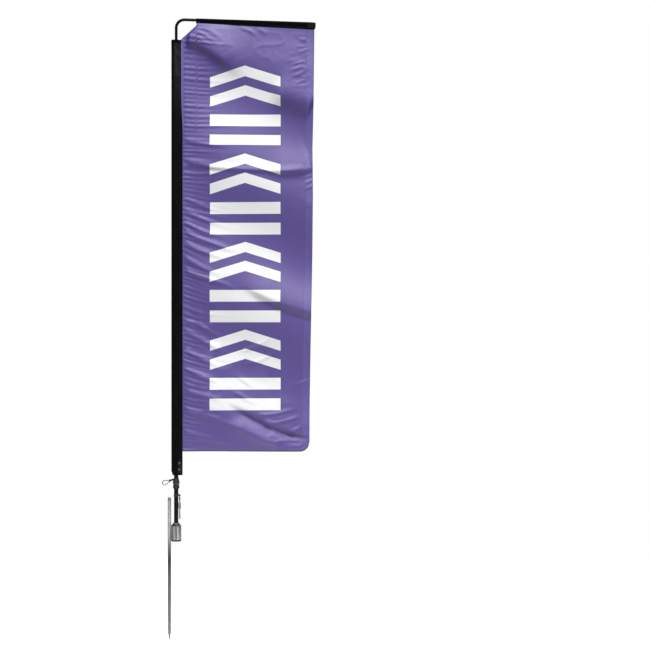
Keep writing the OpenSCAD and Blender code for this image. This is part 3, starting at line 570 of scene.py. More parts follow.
def latticeNoise(x, z, cell, seed):
    # Random heights on a square lattice, joined smoothly between its points.
    table = np.random.default_rng(seed).random((128, 128))
    column, row = x / cell + 20.5, z / cell + 20.5
    i, j = np.floor(column).astype(int), np.floor(row).astype(int)
    a, b = smoothStep(column - i), smoothStep(row - j)
    i, j = i % 127, j % 127
    low = table[i, j] * (1 - a) + table[i + 1, j] * a
    high = table[i, j + 1] * (1 - a) + table[i + 1, j + 1] * a
    return low * (1 - b) + high * b


def crumpleNoise(x, z, cell, seed):
    # Two sizes of creased noise: each is sharp where the smooth noise crosses its middle.
    first = 1 - np.abs(2 * latticeNoise(x, z, cell, seed) - 1)
    second = 1 - np.abs(2 * latticeNoise(x * 0.8 + z * 0.6, z * 0.8 - x * 0.6, cell / 2.1, seed + 1) - 1)
    return first ** 2 + 0.45 * second ** 2


def curveThrough(points, samples=18):
    # A smooth curve through its points: cubic between them, with the slope at a point from its two
    # neighbours.
    points = np.asarray(points, float)
    padded = np.vstack([2 * points[0] - points[1], points, 2 * points[-1] - points[-2]])
    place = np.linspace(0, len(points) - 1 - 1e-9, samples)
    k = place.astype(int)
    t = (place - k)[:, None]
    a, b, c, d = (padded[k + n] for n in range(4))
    return 0.5 * (2 * b + (c - a) * t + (2 * a - 5 * b + 4 * c - d) * t ** 2 + (3 * b - a - 3 * c + d) * t ** 3)


def foldHeight(x, z, fold):
    # A rounded ridge along a curve: its height falls off with the distance squared, faster on one side than
    # on the other, and it grows and fades along the curve.
    height, wideUp, wideDown, fadeIn, fadeOut, points = fold
    line = curveThrough(np.array(points) / 1000)
    reach = 3 * max(wideUp, wideDown) / 1000
    low, high = line.min(0) - reach, line.max(0) + reach
    near = (x > low[0]) & (x < high[0]) & (z > low[1]) & (z < high[1])
    result = np.zeros_like(x)
    if not near.any():
        return result
    here = np.stack([x[near], z[near]], axis=-1)
    start, step = line[:-1], np.diff(line, axis=0)
    gap = here[:, None] - start
    share = np.clip((gap * step).sum(-1) / (step ** 2).sum(-1), 0, 1)
    off = gap - share[..., None] * step
    far = (off ** 2).sum(-1)
    best = far.argmin(1)
    pick = np.arange(len(best))
    above = step[best, 0] * off[pick, best, 1] - step[best, 1] * off[pick, best, 0] > 0
    along = (best + share[pick, best]) / len(step)
    wide = np.where(above, wideUp, wideDown) / 1000
    rise = np.exp(-far[pick, best] / wide ** 2)
    result[near] = height / 1000 * rise * smoothStep(along / fadeIn) * smoothStep((1 - along) / fadeOut)
    return result


armSlope = 1.9 * degree
bendCentre = np.array([poleX + 0.034, 2.1507])


def armPoint(along, up):
    along, up = np.asarray(along, float), np.asarray(up, float)
    return (bendCentre[0] + along * np.cos(armSlope) + up * np.sin(armSlope),
            bendCentre[1] - along * np.sin(armSlope) + up * np.cos(armSlope))


panel = {
    "seam": sleeveHigh.x, "foot": panelLow.z, "cornerRadius": 0.041, "tuck": 0.0035,
    # height, how far out the edge is
    "edge": [(0.385, 0.5826), (0.590, 0.5830), (0.830, 0.5874), (0.965, 0.5900), (1.215, 0.5945),
             (1.450, 0.5970),
             (1.650, 0.5948), (1.840, 0.5995), (2.145, 0.6030), (2.170, 0.6030)],
    "rows": 430, "thickness": 0.0006, "hemWidth": 0.030, "footHem": 0.013, "footShadeWidth": 0.0080,
    "waveHeight": 0.013, "waveLength": 0.530, "waveStart": 0.370,
    "puckerPitch": 0.0195, "puckerHeight": 0.0046, "foldGain": 1.7,
    "puckerSlope": [(0.39, 9), (0.55, 13), (0.75, 21), (0.95, 17), (1.08, 23), (1.25, 25), (1.40, 17),
                    (1.52, 7),
                    (1.70, 4), (1.95, 5), (2.11, 8)],  # height, how steeply the puckers run down, in degrees
}
folds = [  # height, width above and below, how soon it grows and fades, and its line, in millimetres
    (11, 90, 28, 0.10, 0.45, [(64, 2101), (110, 2092), (164, 2065), (214, 2030), (277, 1988), (343, 1947)]),
    (2.2, 7, 8, 0.1, 0.6, [(73, 2120), (110, 2111), (152, 2088), (193, 2059)]),
    (2.4, 8, 10, 0.1, 0.6, [(89, 2138), (131, 2128), (168, 2105), (210, 2076)]),
    (2, 8, 10, 0.1, 0.6, [(106, 2153), (152, 2144), (198, 2117), (235, 2084)]),
    (1.8, 6, 7, 0.15, 0.5, [(297, 2153), (327, 2140), (356, 2120)]),
    (1.5, 5, 6, 0.15, 0.5, [(327, 2149), (343, 2134), (360, 2113)]),
    (1.5, 8, 8, 0.15, 0.5, [(368, 2151), (393, 2134), (410, 2109)]),
    (1.5, 6, 6, 0.4, 0.2, [(505, 1993), (535, 2003), (566, 2011)]),
    (1.7, 6, 6, 0.4, 0.2, [(501, 1968), (530, 1980), (560, 1995)]),
    (1.5, 6, 6, 0.4, 0.2, [(505, 1943), (535, 1955), (564, 1972)]),
    (1.1, 5, 5, 0.3, 0.3, [(526, 2080), (547, 2072), (568, 2076)]),
    (1.1, 5, 5, 0.3, 0.3, [(535, 2109), (555, 2101), (572, 2105)]),
    (1.2, 5, 5, 0.3, 0.3, [(539, 2047), (560, 2057), (576, 2063)]),
    (1.2, 6, 5, 0.3, 0.3, [(522, 1914), (547, 1926), (572, 1934)]),
    (10, 60, 50, 0.35, 0.08, [(410, 1897), (472, 1872), (526, 1855), (601, 1826)]),
    (6.5, 85, 20, 0.4, 0.08, [(385, 1568), (460, 1554), (535, 1554), (601, 1577)]),
    (3.6, 15, 9, 0.08, 0.15, [(60, 1593), (127, 1581), (189, 1570), (272, 1562), (368, 1558), (480, 1554),
                              (593, 1570)]),
    (2.4, 10, 7, 0.08, 0.5, [(60, 1681), (127, 1670), (189, 1660), (272, 1656)]),
    (1.1, 5, 5, 0.4, 0.1, [(560, 1527), (580, 1533), (597, 1541)]),
    (1.1, 5, 5, 0.4, 0.1, [(555, 1502), (576, 1510), (595, 1518)]),
    (1.1, 5, 5, 0.4, 0.1, [(560, 1477), (580, 1485), (595, 1496)]),
    (2.2, 8, 8, 0.08, 0.55, [(60, 1444), (114, 1419), (168, 1400), (227, 1389)]),
    (2.6, 8, 9, 0.08, 0.55, [(60, 1396), (110, 1369), (164, 1346), (227, 1331)]),
    (2.8, 9, 9, 0.08, 0.55, [(60, 1350), (119, 1310), (168, 1292), (235, 1277)]),
    (3.6, 11, 10, 0.08, 0.55, [(60, 1310), (110, 1279), (185, 1252), (252, 1229), (318, 1219)]),
    (3.2, 10, 9, 0.08, 0.55, [(60, 1260), (119, 1229), (185, 1206), (260, 1190)]),
    (3, 10, 9, 0.08, 0.55, [(60, 1194), (110, 1167), (168, 1140), (235, 1115)]),
    (3.4, 11, 9, 0.08, 0.55, [(60, 1144), (110, 1121), (173, 1102), (243, 1077), (310, 1048)]),
    (12, 90, 20, 0.4, 0.05, [(277, 1086), (343, 1065), (410, 1032), (476, 1003), (543, 982), (601, 961)]),
    (3, 9, 9, 0.08, 0.5, [(60, 932), (119, 915), (177, 882), (227, 857)]),
    (3.4, 11, 9, 0.08, 0.5, [(60, 894), (119, 859), (185, 824), (260, 786)]),
    (3.4, 11, 9, 0.08, 0.5, [(60, 815), (119, 780), (177, 755), (243, 728)]),
    (4, 11, 9, 0.08, 0.5, [(60, 736), (119, 707), (177, 686), (218, 666)]),
    (3, 10, 9, 0.08, 0.5, [(60, 641), (127, 626), (185, 612), (235, 595)]),
    (3, 11, 10, 0.08, 0.5, [(60, 562), (119, 549), (185, 530), (252, 503), (318, 478)]),
    (2.6, 11, 10, 0.08, 0.5, [(60, 470), (127, 453), (210, 433), (293, 416)]),
    (-10, 12, 40, 0.2, 0.3, [(220, 590), (300, 548), (360, 514), (410, 489), (480, 465), (550, 445),
                             (590, 430)]),
    (7, 48, 22, 0.3, 0.3, [(225, 520), (310, 480), (400, 440), (500, 412)]),
    (2.8, 8, 6, 0.3, 0.3, [(352, 549), (401, 541), (460, 549), (535, 570)]),
    (2.6, 8, 6, 0.3, 0.3, [(376, 512), (435, 508), (493, 518), (551, 537)]),
    (1.8, 6, 5, 0.3, 0.3, [(476, 470), (514, 474), (555, 495)]),
    (1.6, 5, 5, 0.3, 0.3, [(401, 445), (431, 456), (468, 437)]),
    (1.5, 5, 5, 0.3, 0.3, [(422, 416), (456, 433), (497, 433)]),
    (1.6, 5, 5, 0.3, 0.3, [(476, 453), (505, 435), (547, 437)]),
    (1.4, 5, 5, 0.3, 0.3, [(501, 420), (535, 412), (560, 428)]),
    (2, 8, 6, 0.4, 0.1, [(518, 661), (551, 674), (584, 682)]),
    (2.4, 9, 8, 0.3, 0.4, [(252, 641), (293, 624), (327, 603), (376, 587)]),
    (2, 8, 7, 0.3, 0.4, [(277, 703), (318, 678), (352, 653)]),
    (2.4, 10, 8, 0.3, 0.4, [(285, 803), (335, 815), (385, 840), (443, 894)]),
    (2, 9, 8, 0.3, 0.4, [(293, 745), (360, 761), (418, 790), (476, 836)]),
]
crumples = [  # height, cell, seed, then the middle and half size of where it lies, in metres
    (0.0026, 0.060, 11, (0.13, 0.72), (0.13, 0.36)),
    (0.0022, 0.048, 23, (0.47, 0.50), (0.16, 0.11)),
    (0.0014, 0.036, 31, (0.54, 1.98), (0.06, 0.17)),
    (0.0014, 0.052, 47, (0.36, 2.06), (0.22, 0.08)),
    (0.0012, 0.040, 53, (0.575, 1.47), (0.04, 0.16)),
    (0.0016, 0.070, 61, (0.33, 0.62), (0.24, 0.20)),
]
seamLeft, seamRight = np.array(armPoint(0.048, 0.020)), np.array(armPoint(0.5363, 0.011))
cutFoot = sleeveHigh.z + 0.008


def headOf(x):
    # The straight lower edge of the top sleeve, and left of it the slanted edge of the cut corner.
    along = seamLeft[1] + (seamRight[1] - seamLeft[1]) * (x - seamLeft[0]) / (seamRight[0] - seamLeft[0])
    cutTop = seamLeft[1] - 0.010
    corner = cutTop - (seamLeft[0] - x) * (cutTop - cutFoot) / (seamLeft[0] - panel["seam"])
    tucked = along + panel["tuck"] * smoothStep((x - seamLeft[0]) / 0.006)
    return np.where(x < seamLeft[0] - 0.0005, np.minimum(along, corner), tucked)


def edgeOf(z):
    heights, reaches = np.array(panel["edge"]).T
    return np.interp(z, heights, reaches)


def footOf(x):
    # Level, and rounded up by a quarter circle at the outer corner.
    past = np.clip(x - (edgeOf(panel["foot"]) - panel["cornerRadius"]), 0, panel["cornerRadius"])
    return panel["foot"] + panel["cornerRadius"] - np.sqrt(panel["cornerRadius"] ** 2 - past ** 2)


def puckers(x, z):
    # Parallel ridges that start at the sleeve's seam, run down at the slope for their height, and fade out.
    heights, slopes = np.array(panel["puckerSlope"]).T
    off = x - panel["seam"]
    drop = np.tan(np.interp(z, heights, slopes) * degree) * off * (1 - 1.4 * np.clip(off, 0, 0.25))
    phase = (z + drop) / panel["puckerPitch"] + 1.3 * latticeNoise(0.4 * x, z, 0.075, 5)
    number = np.floor(phase).astype(int)
    random = np.random.default_rng(8)
    strength, reach = random.uniform(0.35, 1.0, 400), random.uniform(0.045, 0.14, 400)
    profile = np.sin(np.pi * (phase - number)) ** 2
    grow = 0.25 + 0.75 * smoothStep(off / 0.014)
    fade = np.exp(-np.clip(off / reach[number % 400], 0, 9) ** 2)
    return panel["puckerHeight"] * strength[number % 400] * profile * grow * fade * np.clip(off / 0.002, 0, 1)


def flagDepth(x, z):
    # How far the cloth stands towards the back at a point: a long slanting wave, less the folds, puckers
    # and crumples that stand out in front, all held flat at the two sleeves.
    across, down = (x - panel["seam"]) / 0.549, (headOf(x) - z) / (headOf(x) - panel["foot"])
    free = np.sin(np.clip(across / 0.30, 0, 1) * np.pi / 2) * np.sin(np.clip(down / 0.18, 0, 1) * np.pi / 2)
    run = (z - panel["foot"] - panel["waveStart"]) + (x - panel["seam"]) / 2
    depth = panel["waveHeight"] * free * np.sin(2 * np.pi * run / panel["waveLength"])
    front = np.zeros_like(x)
    for fold in folds:
        front += panel["foldGain"] * foldHeight(x, z, fold)
    for height, cell, seed, middle, half in crumples:
        within = ((x - middle[0]) / half[0]) ** 2 + ((z - middle[1]) / half[1]) ** 2
        front += height * crumpleNoise(x, z, cell, seed) * smoothStep(1.3 - within)
    held = smoothStep((x - panel["seam"]) / 0.03) * smoothStep((headOf(x) - z) / 0.022)
    tight = np.clip((x - panel["seam"]) / 0.004, 0, 1) * np.clip((headOf(x) - z + 0.001) / 0.006, 0, 1)
    hemLine = edgeOf(z) - panel["hemWidth"]
    sunk = 0.0005  # how deep the hems' stitch lines lie
    besideHem = np.exp(-((x - hemLine) / 0.003) ** 2)
    aboveFoot = np.exp(-((z - footOf(x) - panel["footHem"]) / 0.004) ** 2)
    dent = sunk * besideHem + sunk * aboveFoot
    return depth - front * (0.25 * tight + 0.75 * held) - puckers(x, z) * tight + dent


def flagNormal(x, z):
    step = 0.0015
    slopeX = (flagDepth(x + step, z) - flagDepth(x - step, z)) / (2 * step)
    slopeZ = (flagDepth(x, z + step) - flagDepth(x, z - step)) / (2 * step)
    front = np.stack([slopeX, -np.ones_like(x), slopeZ], axis=-1)
    return front / np.linalg.norm(front, axis=-1, keepdims=True)


def panelColumns():
    # Shares of the way across: closer over the cut corner, at the hem's stitch line and at the outer edge.
    cut = (seamLeft[0] - 0.0006 - panel["seam"]) / 0.549
    hem = 1 - panel["hemWidth"] / 0.549
    return np.concatenate([
        np.linspace(0, cut, 12, endpoint=False), [cut], np.linspace(cut + 0.004, hem - 0.008, 70),
        np.linspace(hem - 0.004, hem + 0.004, 3), np.linspace(hem + 0.009, 0.992, 7), [1.0],
    ])


def panelGrid(across, upward):
    # Rows run from the foot to the head of each column; a column leans with the edge as it rises.
    share, rise = np.meshgrid(across, upward)
    z = panel["foot"] + rise * (cutFoot - panel["foot"])
    for _ in range(3):
        x = panel["seam"] - 0.003 + share * (edgeOf(z) - panel["seam"] + 0.003)
        z = footOf(x) + rise * (headOf(x) - footOf(x))
    return x, z


def buildPanel():
    x, z = panelGrid(panelColumns(), np.linspace(0, 1, panel["rows"]))
    points = np.stack([x, flagDepth(x, z), z], axis=-1)
    hem = smoothStep((x - edgeOf(z) + panel["hemWidth"]) / 0.003)
    hem = np.maximum(hem, smoothStep((footOf(x) + panel["footHem"] - z) / 0.004))
    # Above 1: a painted shade line along the foot's bottom edge.
    hem += smoothStep((footOf(x) + panel["footShadeWidth"] - z) / 0.002)
    piece = gridMesh("flagPanel", points, np.stack([x, z], axis=-1), "flag", hem=hem)
    addWall(piece, panel["thickness"])
    return piece


def buildHems():
    # The turned-over edges behind the panel: a wide one at the outer edge and a narrow one at the foot.
    back = panel["thickness"] + 0.0004
    rise, share = np.meshgrid(np.linspace(0.028, 0.9965, 340), np.linspace(0, 1, 5), indexing="ij")
    z = panel["foot"] + rise * (2.13 - panel["foot"])
    x = edgeOf(z) - panel["hemWidth"] + share * (panel["hemWidth"] - 0.0006)
    side = np.stack([x, flagDepth(x, z) + back, z], axis=-1)
    along, up = np.meshgrid(np.linspace(panel["seam"] + 0.002, 0.541, 110), np.linspace(0, 1, 4),
                            indexing="ij")
    low = footOf(along) + 0.0005 + up * panel["footHem"]
    foot = np.stack([along, flagDepth(along, low) + back, low], axis=-1)
    pieces = []
    for name, grid in (("sideHem", side), ("footHem", foot)):
        piece = gridMesh(name, grid, grid[..., ::2], "flag", hem=np.ones(grid.shape[:2]))
        addWall(piece, 0.0004)
        pieces.append(piece)
    return pieces


def stitchRow(xs, zs, lift):
    # Stitches at the given places on both faces of the panel.
    xs, zs = np.asarray(xs, float), np.asarray(zs, float)
    line = np.stack([xs, flagDepth(xs, zs), zs], axis=-1)
    middles, alongs = (line[1:] + line[:-1]) / 2, np.diff(line, axis=0)
    outs = flagNormal(middles[:, 0], middles[:, 2])
    return [(middles + outs * lift, alongs, outs), (middles - outs * (lift + 0.0008), alongs, -outs)]


def buildHemStitches():
    up = np.arange(0.440, 2.128, 0.0046)
    out = np.arange(panel["seam"] + 0.004, 0.536, 0.0046)
    rows = stitchRow(edgeOf(up) - panel["hemWidth"] + 0.0022, up, 0.0004)
    rows += stitchRow(out, footOf(out) + panel["footHem"] - 0.0018, 0.0004)
    share = np.linspace(0.04, 0.96, 17)
    cut = panel["seam"] + share * (seamLeft[0] - panel["seam"])
    rows += stitchRow(cut, headOf(cut) - 0.004, 0.0004)
    return stitchMesh("hemStitches", rows, "paleThread", (0.0032, 0.0007, 0.0006))


sleeve = {
    "half": (sleeveHigh.y - sleeveLow.y) / 2 - 0.0006, "back": poleX - sleeveLow.x - 0.0004, "lip": 0.0012,
    "around": 60, "wall": 0.0008, "tailCut": (0.007, 0.019), "hem": 0.012, "eyelets": (0.314, 0.341),
    "eyeletX": 0.0415, "eyeletHole": 0.0034,
}


def sleeveHalf(x, z):
    # Half thickness: an ellipse round the open side, then a taper to the seam, fuller in the tail.
    off = x - poleX
    rounded = sleeve["half"] * np.sqrt(np.clip(1 - (off / sleeve["back"]) ** 2, 0, 1))
    share = np.clip(off / (sleeveHigh.x - poleX), 0, 1)
    straight = sleeve["half"] + (sleeve["lip"] - sleeve["half"]) * share
    full = sleeve["lip"] + (sleeve["half"] - sleeve["lip"]) * (1 - share ** 1.7) ** 0.9
    tail = smoothStep((0.395 - z) / 0.05)
    return np.where(off < 0, rounded, straight + (full - straight) * tail)


def sleeveSurface(turn, z):
    # turn runs from the front lip round the open side to the back lip.
    swing = (1 - np.cos(np.clip(1 - np.abs(2 * turn - 1), 0, 1) * np.pi)) / 2
    swing = 0.35 * swing + 0.65 * np.sin(np.clip(1 - np.abs(2 * turn - 1), 0, 1) * np.pi / 2)
    x = sleeveHigh.x - swing * (sleeveHigh.x - poleX + sleeve["back"])
    side = np.where(turn < 0.5, -1.0, 1.0)
    half = sleeveHalf(x, z)
    loose = smoothStep((sleeveHigh.x - x) / 0.012)
    upper = smoothStep((z - 1.72) / 0.30)
    lean = z + side * 0.6 * x
    crease = crumpleNoise(lean * 0.5, x * 2.2 + 0.3 * z, 0.034, 71) * (0.0006 + 0.0030 * upper)
    crease += 0.0009 * latticeNoise(x * 1.5, z, 0.09, 77)
    half = half - loose * crease
    return np.stack([x, side * half, z], axis=-1)


def sleeveRows():
    return np.concatenate([
        np.linspace(0, 0.010, 5, endpoint=False), np.linspace(0.010, 0.075, 46, endpoint=False),
        np.linspace(0.075, 1.60, 300, endpoint=False),
        np.linspace(1.60, sleeveHigh.z - sleeveLow.z, 70),
    ]) + sleeveLow.z


def nearEyelet(points):
    hit = np.zeros(len(points), bool)
    for height in sleeve["eyelets"]:
        hit |= np.hypot(points[:, 0] - sleeve["eyeletX"], points[:, 2] - height) < sleeve["eyeletHole"]
    return hit


def buildPoleSleeve():
    turn, z = np.meshgrid(np.linspace(0, 1, sleeve["around"]), sleeveRows())
    points = sleeveSurface(turn, z)
    cutX, cutZ = sleeve["tailCut"]
    lift = cutZ * np.clip(1 - (points[..., 0] - sleeveLow.x) / cutX, 0, 1)
    z = z + lift * smoothStep((0.36 - z) / 0.07)
    points = sleeveSurface(turn, z)
    rim = np.exp(-((sleeveHigh.z - 0.004 - z) / 0.004) ** 2) * 0.0007
    points[..., 1] += np.sign(points[..., 1]) * np.minimum(rim, 0.0007)
    # Painted light: the top of the sleeve, where its crumples catch the light, is made lighter in colour, in
    # patches.
    paintedTopLight = smoothStep((z - 1.74) / 0.24) * smoothStep((points[..., 0] - sleeveLow.x - 0.009) / 0.006)
    patchy = 0.35 + 0.65 * latticeNoise(points[..., 0] * 2 + 0.4 * z, z, 0.03, 73)
    paintedTopLight = paintedTopLight * patchy * smoothStep((sleeveHigh.z - 0.012 - z) / 0.004)
    around = np.cumsum(np.linalg.norm(np.diff(points[200], axis=0, prepend=points[200][:1]), axis=1))
    flat = np.stack([np.broadcast_to(around, z.shape), z], axis=-1)
    piece = gridMesh("poleSleeve", points, flat, "sleeve", drop=nearEyelet, hem=paintedTopLight)
    addWall(piece, sleeve["wall"], -1.0)
    return piece, float(around[-1])


def sleeveStitches():
    rows = []
    for off in (0.0030, 0.0062):
        up = np.arange(0.300, sleeveHigh.z - 0.003, 0.0046)
        for side in (-1, 1):
            xs = np.full(len(up), sleeveHigh.x - off)
            half = sleeveHalf(xs, up) + 0.0003
            line = np.stack([xs, side * half, up], axis=-1)
            outs = np.tile([0.25, side * 1.0, 0.0], (len(up) - 1, 1))
            rows.append(((line[1:] + line[:-1]) / 2, np.diff(line, axis=0), outs))
    return stitchMesh("sleeveStitches", rows, "thread", (0.0032, 0.0007, 0.0006))


def buildSeamTape():
    # A narrow tape of the panel's cloth over the front of the seam, widest at the cut corner.
    up, share = np.meshgrid(np.linspace(1.62, cutFoot - 0.004, 130), np.linspace(0, 1, 7), indexing="ij")
    wide = 0.0095 * smoothStep((up - 1.60) / 0.30)
    x = panel["seam"] + 0.0045 - share * wide * (1 + 0.10 * (latticeNoise(up * 0, up, 0.05, 81) - 0.5))
    lip = -sleeveHalf(x, up) - 0.0011
    cloth = flagDepth(np.maximum(x, panel["seam"]), up) - 0.0011
    y = np.where(x < panel["seam"], lip, np.minimum(cloth, -sleeve["lip"] - 0.0008))
    piece = gridMesh("seamTape", np.stack([x, y, up], axis=-1)[:, ::-1],
                     np.stack([x, up], axis=-1)[:, ::-1], "flag",
                     hem=np.ones(up.shape))
    addWall(piece, 0.0004)
    return piece

topSleeve = {
    "start": 0.048, "end": 0.5443, "head": 0.0415, "foot": (0.020, 0.011), "half": 0.0078, "lip": 0.0010,
    "axis": 0.034, "corner": 0.010, "rows": 150, "around": 44, "wall": 0.0008,
}


def topFoot(along, length):
    # The top sleeve's lower edge runs straight from its near end to its far end.
    near, far = topSleeve["foot"]
    return near + (far - near) * (along - topSleeve["start"]) / length


def topSleeveSurface(turn, along):
    # turn runs from the front lip over the arm to the back lip. Below the arm the two faces draw together.
    length = topSleeve["end"] - topSleeve["start"]
    foot = topFoot(along, length)
    rise = np.sin(np.clip(1 - np.abs(2 * turn - 1), 0, 1) * np.pi / 2)
    side = np.where(turn < 0.5, -1.0, 1.0)
    up = foot + rise * (topSleeve["head"] - foot)
    over = np.clip((up - topSleeve["axis"]) / (topSleeve["head"] - topSleeve["axis"]), 0, 1)
    under = np.clip((topSleeve["axis"] - up) / (topSleeve["axis"] - foot), 0, 1)
    half = topSleeve["half"] * np.sqrt(np.clip(1 - over ** 2, 0, 1))
    tapered = topSleeve["lip"] + (topSleeve["half"] - topSleeve["lip"]) * (1 - under) ** 1.25
    half = np.where(up < topSleeve["axis"], tapered, half)
    crease = crumpleNoise(along + side * 0.4 * up, up * 2.5 + side * 0.3, 0.030, 91) * 0.0007
    half = half - crease * smoothStep(half / 0.004)
    closing = np.clip((along - (topSleeve["end"] - topSleeve["corner"])) / topSleeve["corner"], 0, 1)
    shrink = np.sqrt(np.clip(1 - closing ** 2, 0, 1))
    middle = (foot + topSleeve["head"]) / 2
    up = middle + (up - middle) * (0.45 + 0.55 * shrink)
    half = np.maximum(half * shrink, 0.0004)
    x, z = armPoint(along, up)
    return np.stack([x, side * half, z], axis=-1)


def buildTopSleeve():
    share = np.linspace(0, 1, topSleeve["rows"])
    alongs = topSleeve["start"] + (topSleeve["end"] - topSleeve["start"]) * np.concatenate(
        [share[:-24] * 0.98 / share[-25], 0.98 + 0.02 * np.sin(np.linspace(0.02, 1, 24) * np.pi / 2)])
    turn, along = np.meshgrid(np.linspace(0, 1, topSleeve["around"]), alongs)
    points = topSleeveSurface(turn, along)
    rim = 0.0005 * np.exp(-((along - topSleeve["start"] - 0.004) / 0.003) ** 2)
    points[..., 1] += np.sign(points[..., 1]) * rim
    around = np.cumsum(np.linalg.norm(np.diff(points[60], axis=0, prepend=points[60][:1]), axis=1))
    flat = np.stack([np.broadcast_to(around, along.shape), along], axis=-1)
    piece = gridMesh("topSleeve", points[:, ::-1], flat[:, ::-1], "sleeve")
    addWall(piece, topSleeve["wall"], -1.0)
    return piece, float(around[-1])


def topSleeveSide(along, up, side, lift):
    # A point on the sleeve's front or back face, lifted off it.
    length = topSleeve["end"] - topSleeve["start"]
    foot = topFoot(along, length)
    over = np.clip((up - topSleeve["axis"]) / (topSleeve["head"] - topSleeve["axis"]), 0, 1)
    under = np.clip((topSleeve["axis"] - up) / (topSleeve["axis"] - foot), 0, 1)
    half = np.where(up > topSleeve["axis"], topSleeve["half"] * np.sqrt(1 - over ** 2),
                    topSleeve["lip"] + (topSleeve["half"] - topSleeve["lip"]) * (1 - under) ** 1.25)
    x, z = armPoint(along, up)
    return np.stack([x, side * (half + lift), z], axis=-1)


def buildArmPocket():
    # Webbing that runs along the front face, round the closed end and back along the other face.
    pocket = {"length": 0.034, "foot": 0.0155, "head": 0.0385, "lift": 0.0007}
    path, up = np.meshgrid(np.linspace(-1, 1, 74), np.linspace(pocket["foot"], pocket["head"], 20),
                           indexing="ij")
    turned = 0.72  # share of each side that runs straight
    straight = np.clip(np.abs(path) - (1 - turned), 0, turned) / turned
    end = topSleeve["end"] + 0.0008
    bend = np.clip(np.abs(path) / (1 - turned), 0, 1) * np.pi / 2
    along = np.where(np.abs(path) > 1 - turned, end - 0.007 - straight * (pocket["length"] - 0.007),
                     end - 0.007 + 0.007 * np.cos(bend))
    grid = topSleeveSide(np.minimum(along, end - 0.007), up, np.sign(path), pocket["lift"])
    x, z = armPoint(along, up)
    y = grid[..., 1] * np.where(np.abs(path) > 1 - turned, 1.0, np.sin(bend))
    grid = np.stack([x, y, z], axis=-1)
    flat = np.stack([up, path * 0.045], axis=-1)
    piece = gridMesh("armPocket", grid, flat, "webbing")
    addWall(piece, 0.0011, 0.0)
    return piece


def topStitches():
    rows = []
    along = np.arange(topSleeve["start"] + 0.003, topSleeve["end"] - 0.040, 0.0046)
    length = topSleeve["end"] - topSleeve["start"]
    foot = topFoot(along, length)
    pocketUp = np.arange(0.0175, 0.0370, 0.0031)
    pocketAlong = np.arange(topSleeve["end"] - 0.0320, topSleeve["end"] - 0.006, 0.0031)
    runs = [(along, foot + off, 0.0003) for off in (0.0020, 0.0050)]
    runs += [(np.full(len(pocketUp), topSleeve["end"] - off), pocketUp, 0.0014) for off in (0.0318, 0.0080)]
    runs += [(pocketAlong, np.full(len(pocketAlong), up), 0.0014) for up in (0.0172, 0.0368)]
    runs += [(pocketAlong[:len(pocketUp)], pocketUp[:len(pocketAlong)], 0.0014)]
    for side in (-1, 1):
        for alongs, ups, lift in runs:
            line = topSleeveSide(alongs, ups, side, lift)
            outs = np.tile([0.0, side * 1.0, -0.25], (len(line) - 1, 1))
            rows.append(((line[1:] + line[:-1]) / 2, np.diff(line, axis=0), outs))
    return stitchMesh("topStitches", rows, "thread", (0.0026, 0.0007, 0.0006))


webbingLow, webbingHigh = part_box("tail_webbing")
strapLow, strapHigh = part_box("elastic_strap")
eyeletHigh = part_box("sleeve_eyelets")[1]


def buildTailWebbing(side, name):
    # A patch that lies on the sleeve's tail, level under the eyelets' rims, with a hole for each barrel.
    x, z = np.meshgrid(np.linspace(webbingLow.x, webbingHigh.x - 0.0006, 22),
                       np.linspace(webbingLow.z, webbingHigh.z, 66), indexing="ij")
    y = np.minimum(sleeveHalf(x, z) + 0.0009, eyeletHigh.y - 0.0017)
    under = np.exp(-(((x - sleeve["eyeletX"]) / 0.0055) ** 6))
    near = sum(np.exp(-(((z - height) / 0.0058) ** 6)) for height in sleeve["eyelets"])
    y = y + (eyeletHigh.y - 0.0016 - y) * np.clip(under * near, 0, 1)
    grid = np.stack([x, side * y, z], axis=-1)
    flat = np.stack([z, x], axis=-1)
    if side < 0:
        grid, flat = grid[::-1], flat[::-1]
    piece = gridMesh(name, grid, flat, "webbing", drop=nearEyelet)
    addWall(piece, 0.0010, 0.0)
    return piece


def tailStitches():
    rows = []
    left, right = webbingLow.x + 0.0015, webbingHigh.x - 0.0022
    low, high = webbingLow.z + 0.002, webbingHigh.z - 0.002
    up, out = np.arange(low, high, 0.0032), np.arange(left, right, 0.0030)
    for side in (-1, 1):
        for xs, zs in ((np.full(len(up), left), up), (np.full(len(up), right), up),
                       (out, np.full(len(out), low)), (out, np.full(len(out), high))):
            y = sleeveHalf(xs, zs) + 0.0016
            line = np.stack([xs, side * y, zs], axis=-1)
            outs = np.tile([0.2, side * 1.0, 0.0], (len(line) - 1, 1))
            rows.append(((line[1:] + line[:-1]) / 2, np.diff(line, axis=0), outs))
    return stitchMesh("tailStitches", rows, "thread", (0.0024, 0.0007, 0.0006))


strapMade = {"ribs": 7, "ribHeight": 0.00008, "wall": 0.0006,
             "inTail": 0.034, "inCollar": 0.014}  # how much of each end sits inside the tail and the collar


def buildStrap():
    # A flat ribbed band, from inside the tail down into the collar's slot.
    z, share = np.meshgrid(np.linspace(strapLow.z, strapHigh.z, 60), np.linspace(0, 1, 15), indexing="ij")
    x = strapLow.x + share * (strapHigh.x - strapLow.x)
    y = (strapLow.y + strapHigh.y) / 2 + strapMade["ribHeight"] * np.cos(share * strapMade["ribs"] * 2 * np.pi)
    grid = np.stack([x, y + 0 * z, z], axis=-1)
    piece = gridMesh("elasticStrap", grid, np.stack([x, z], axis=-1), "elastic")
    addWall(piece, strapMade["wall"], 0.0)
    return piece


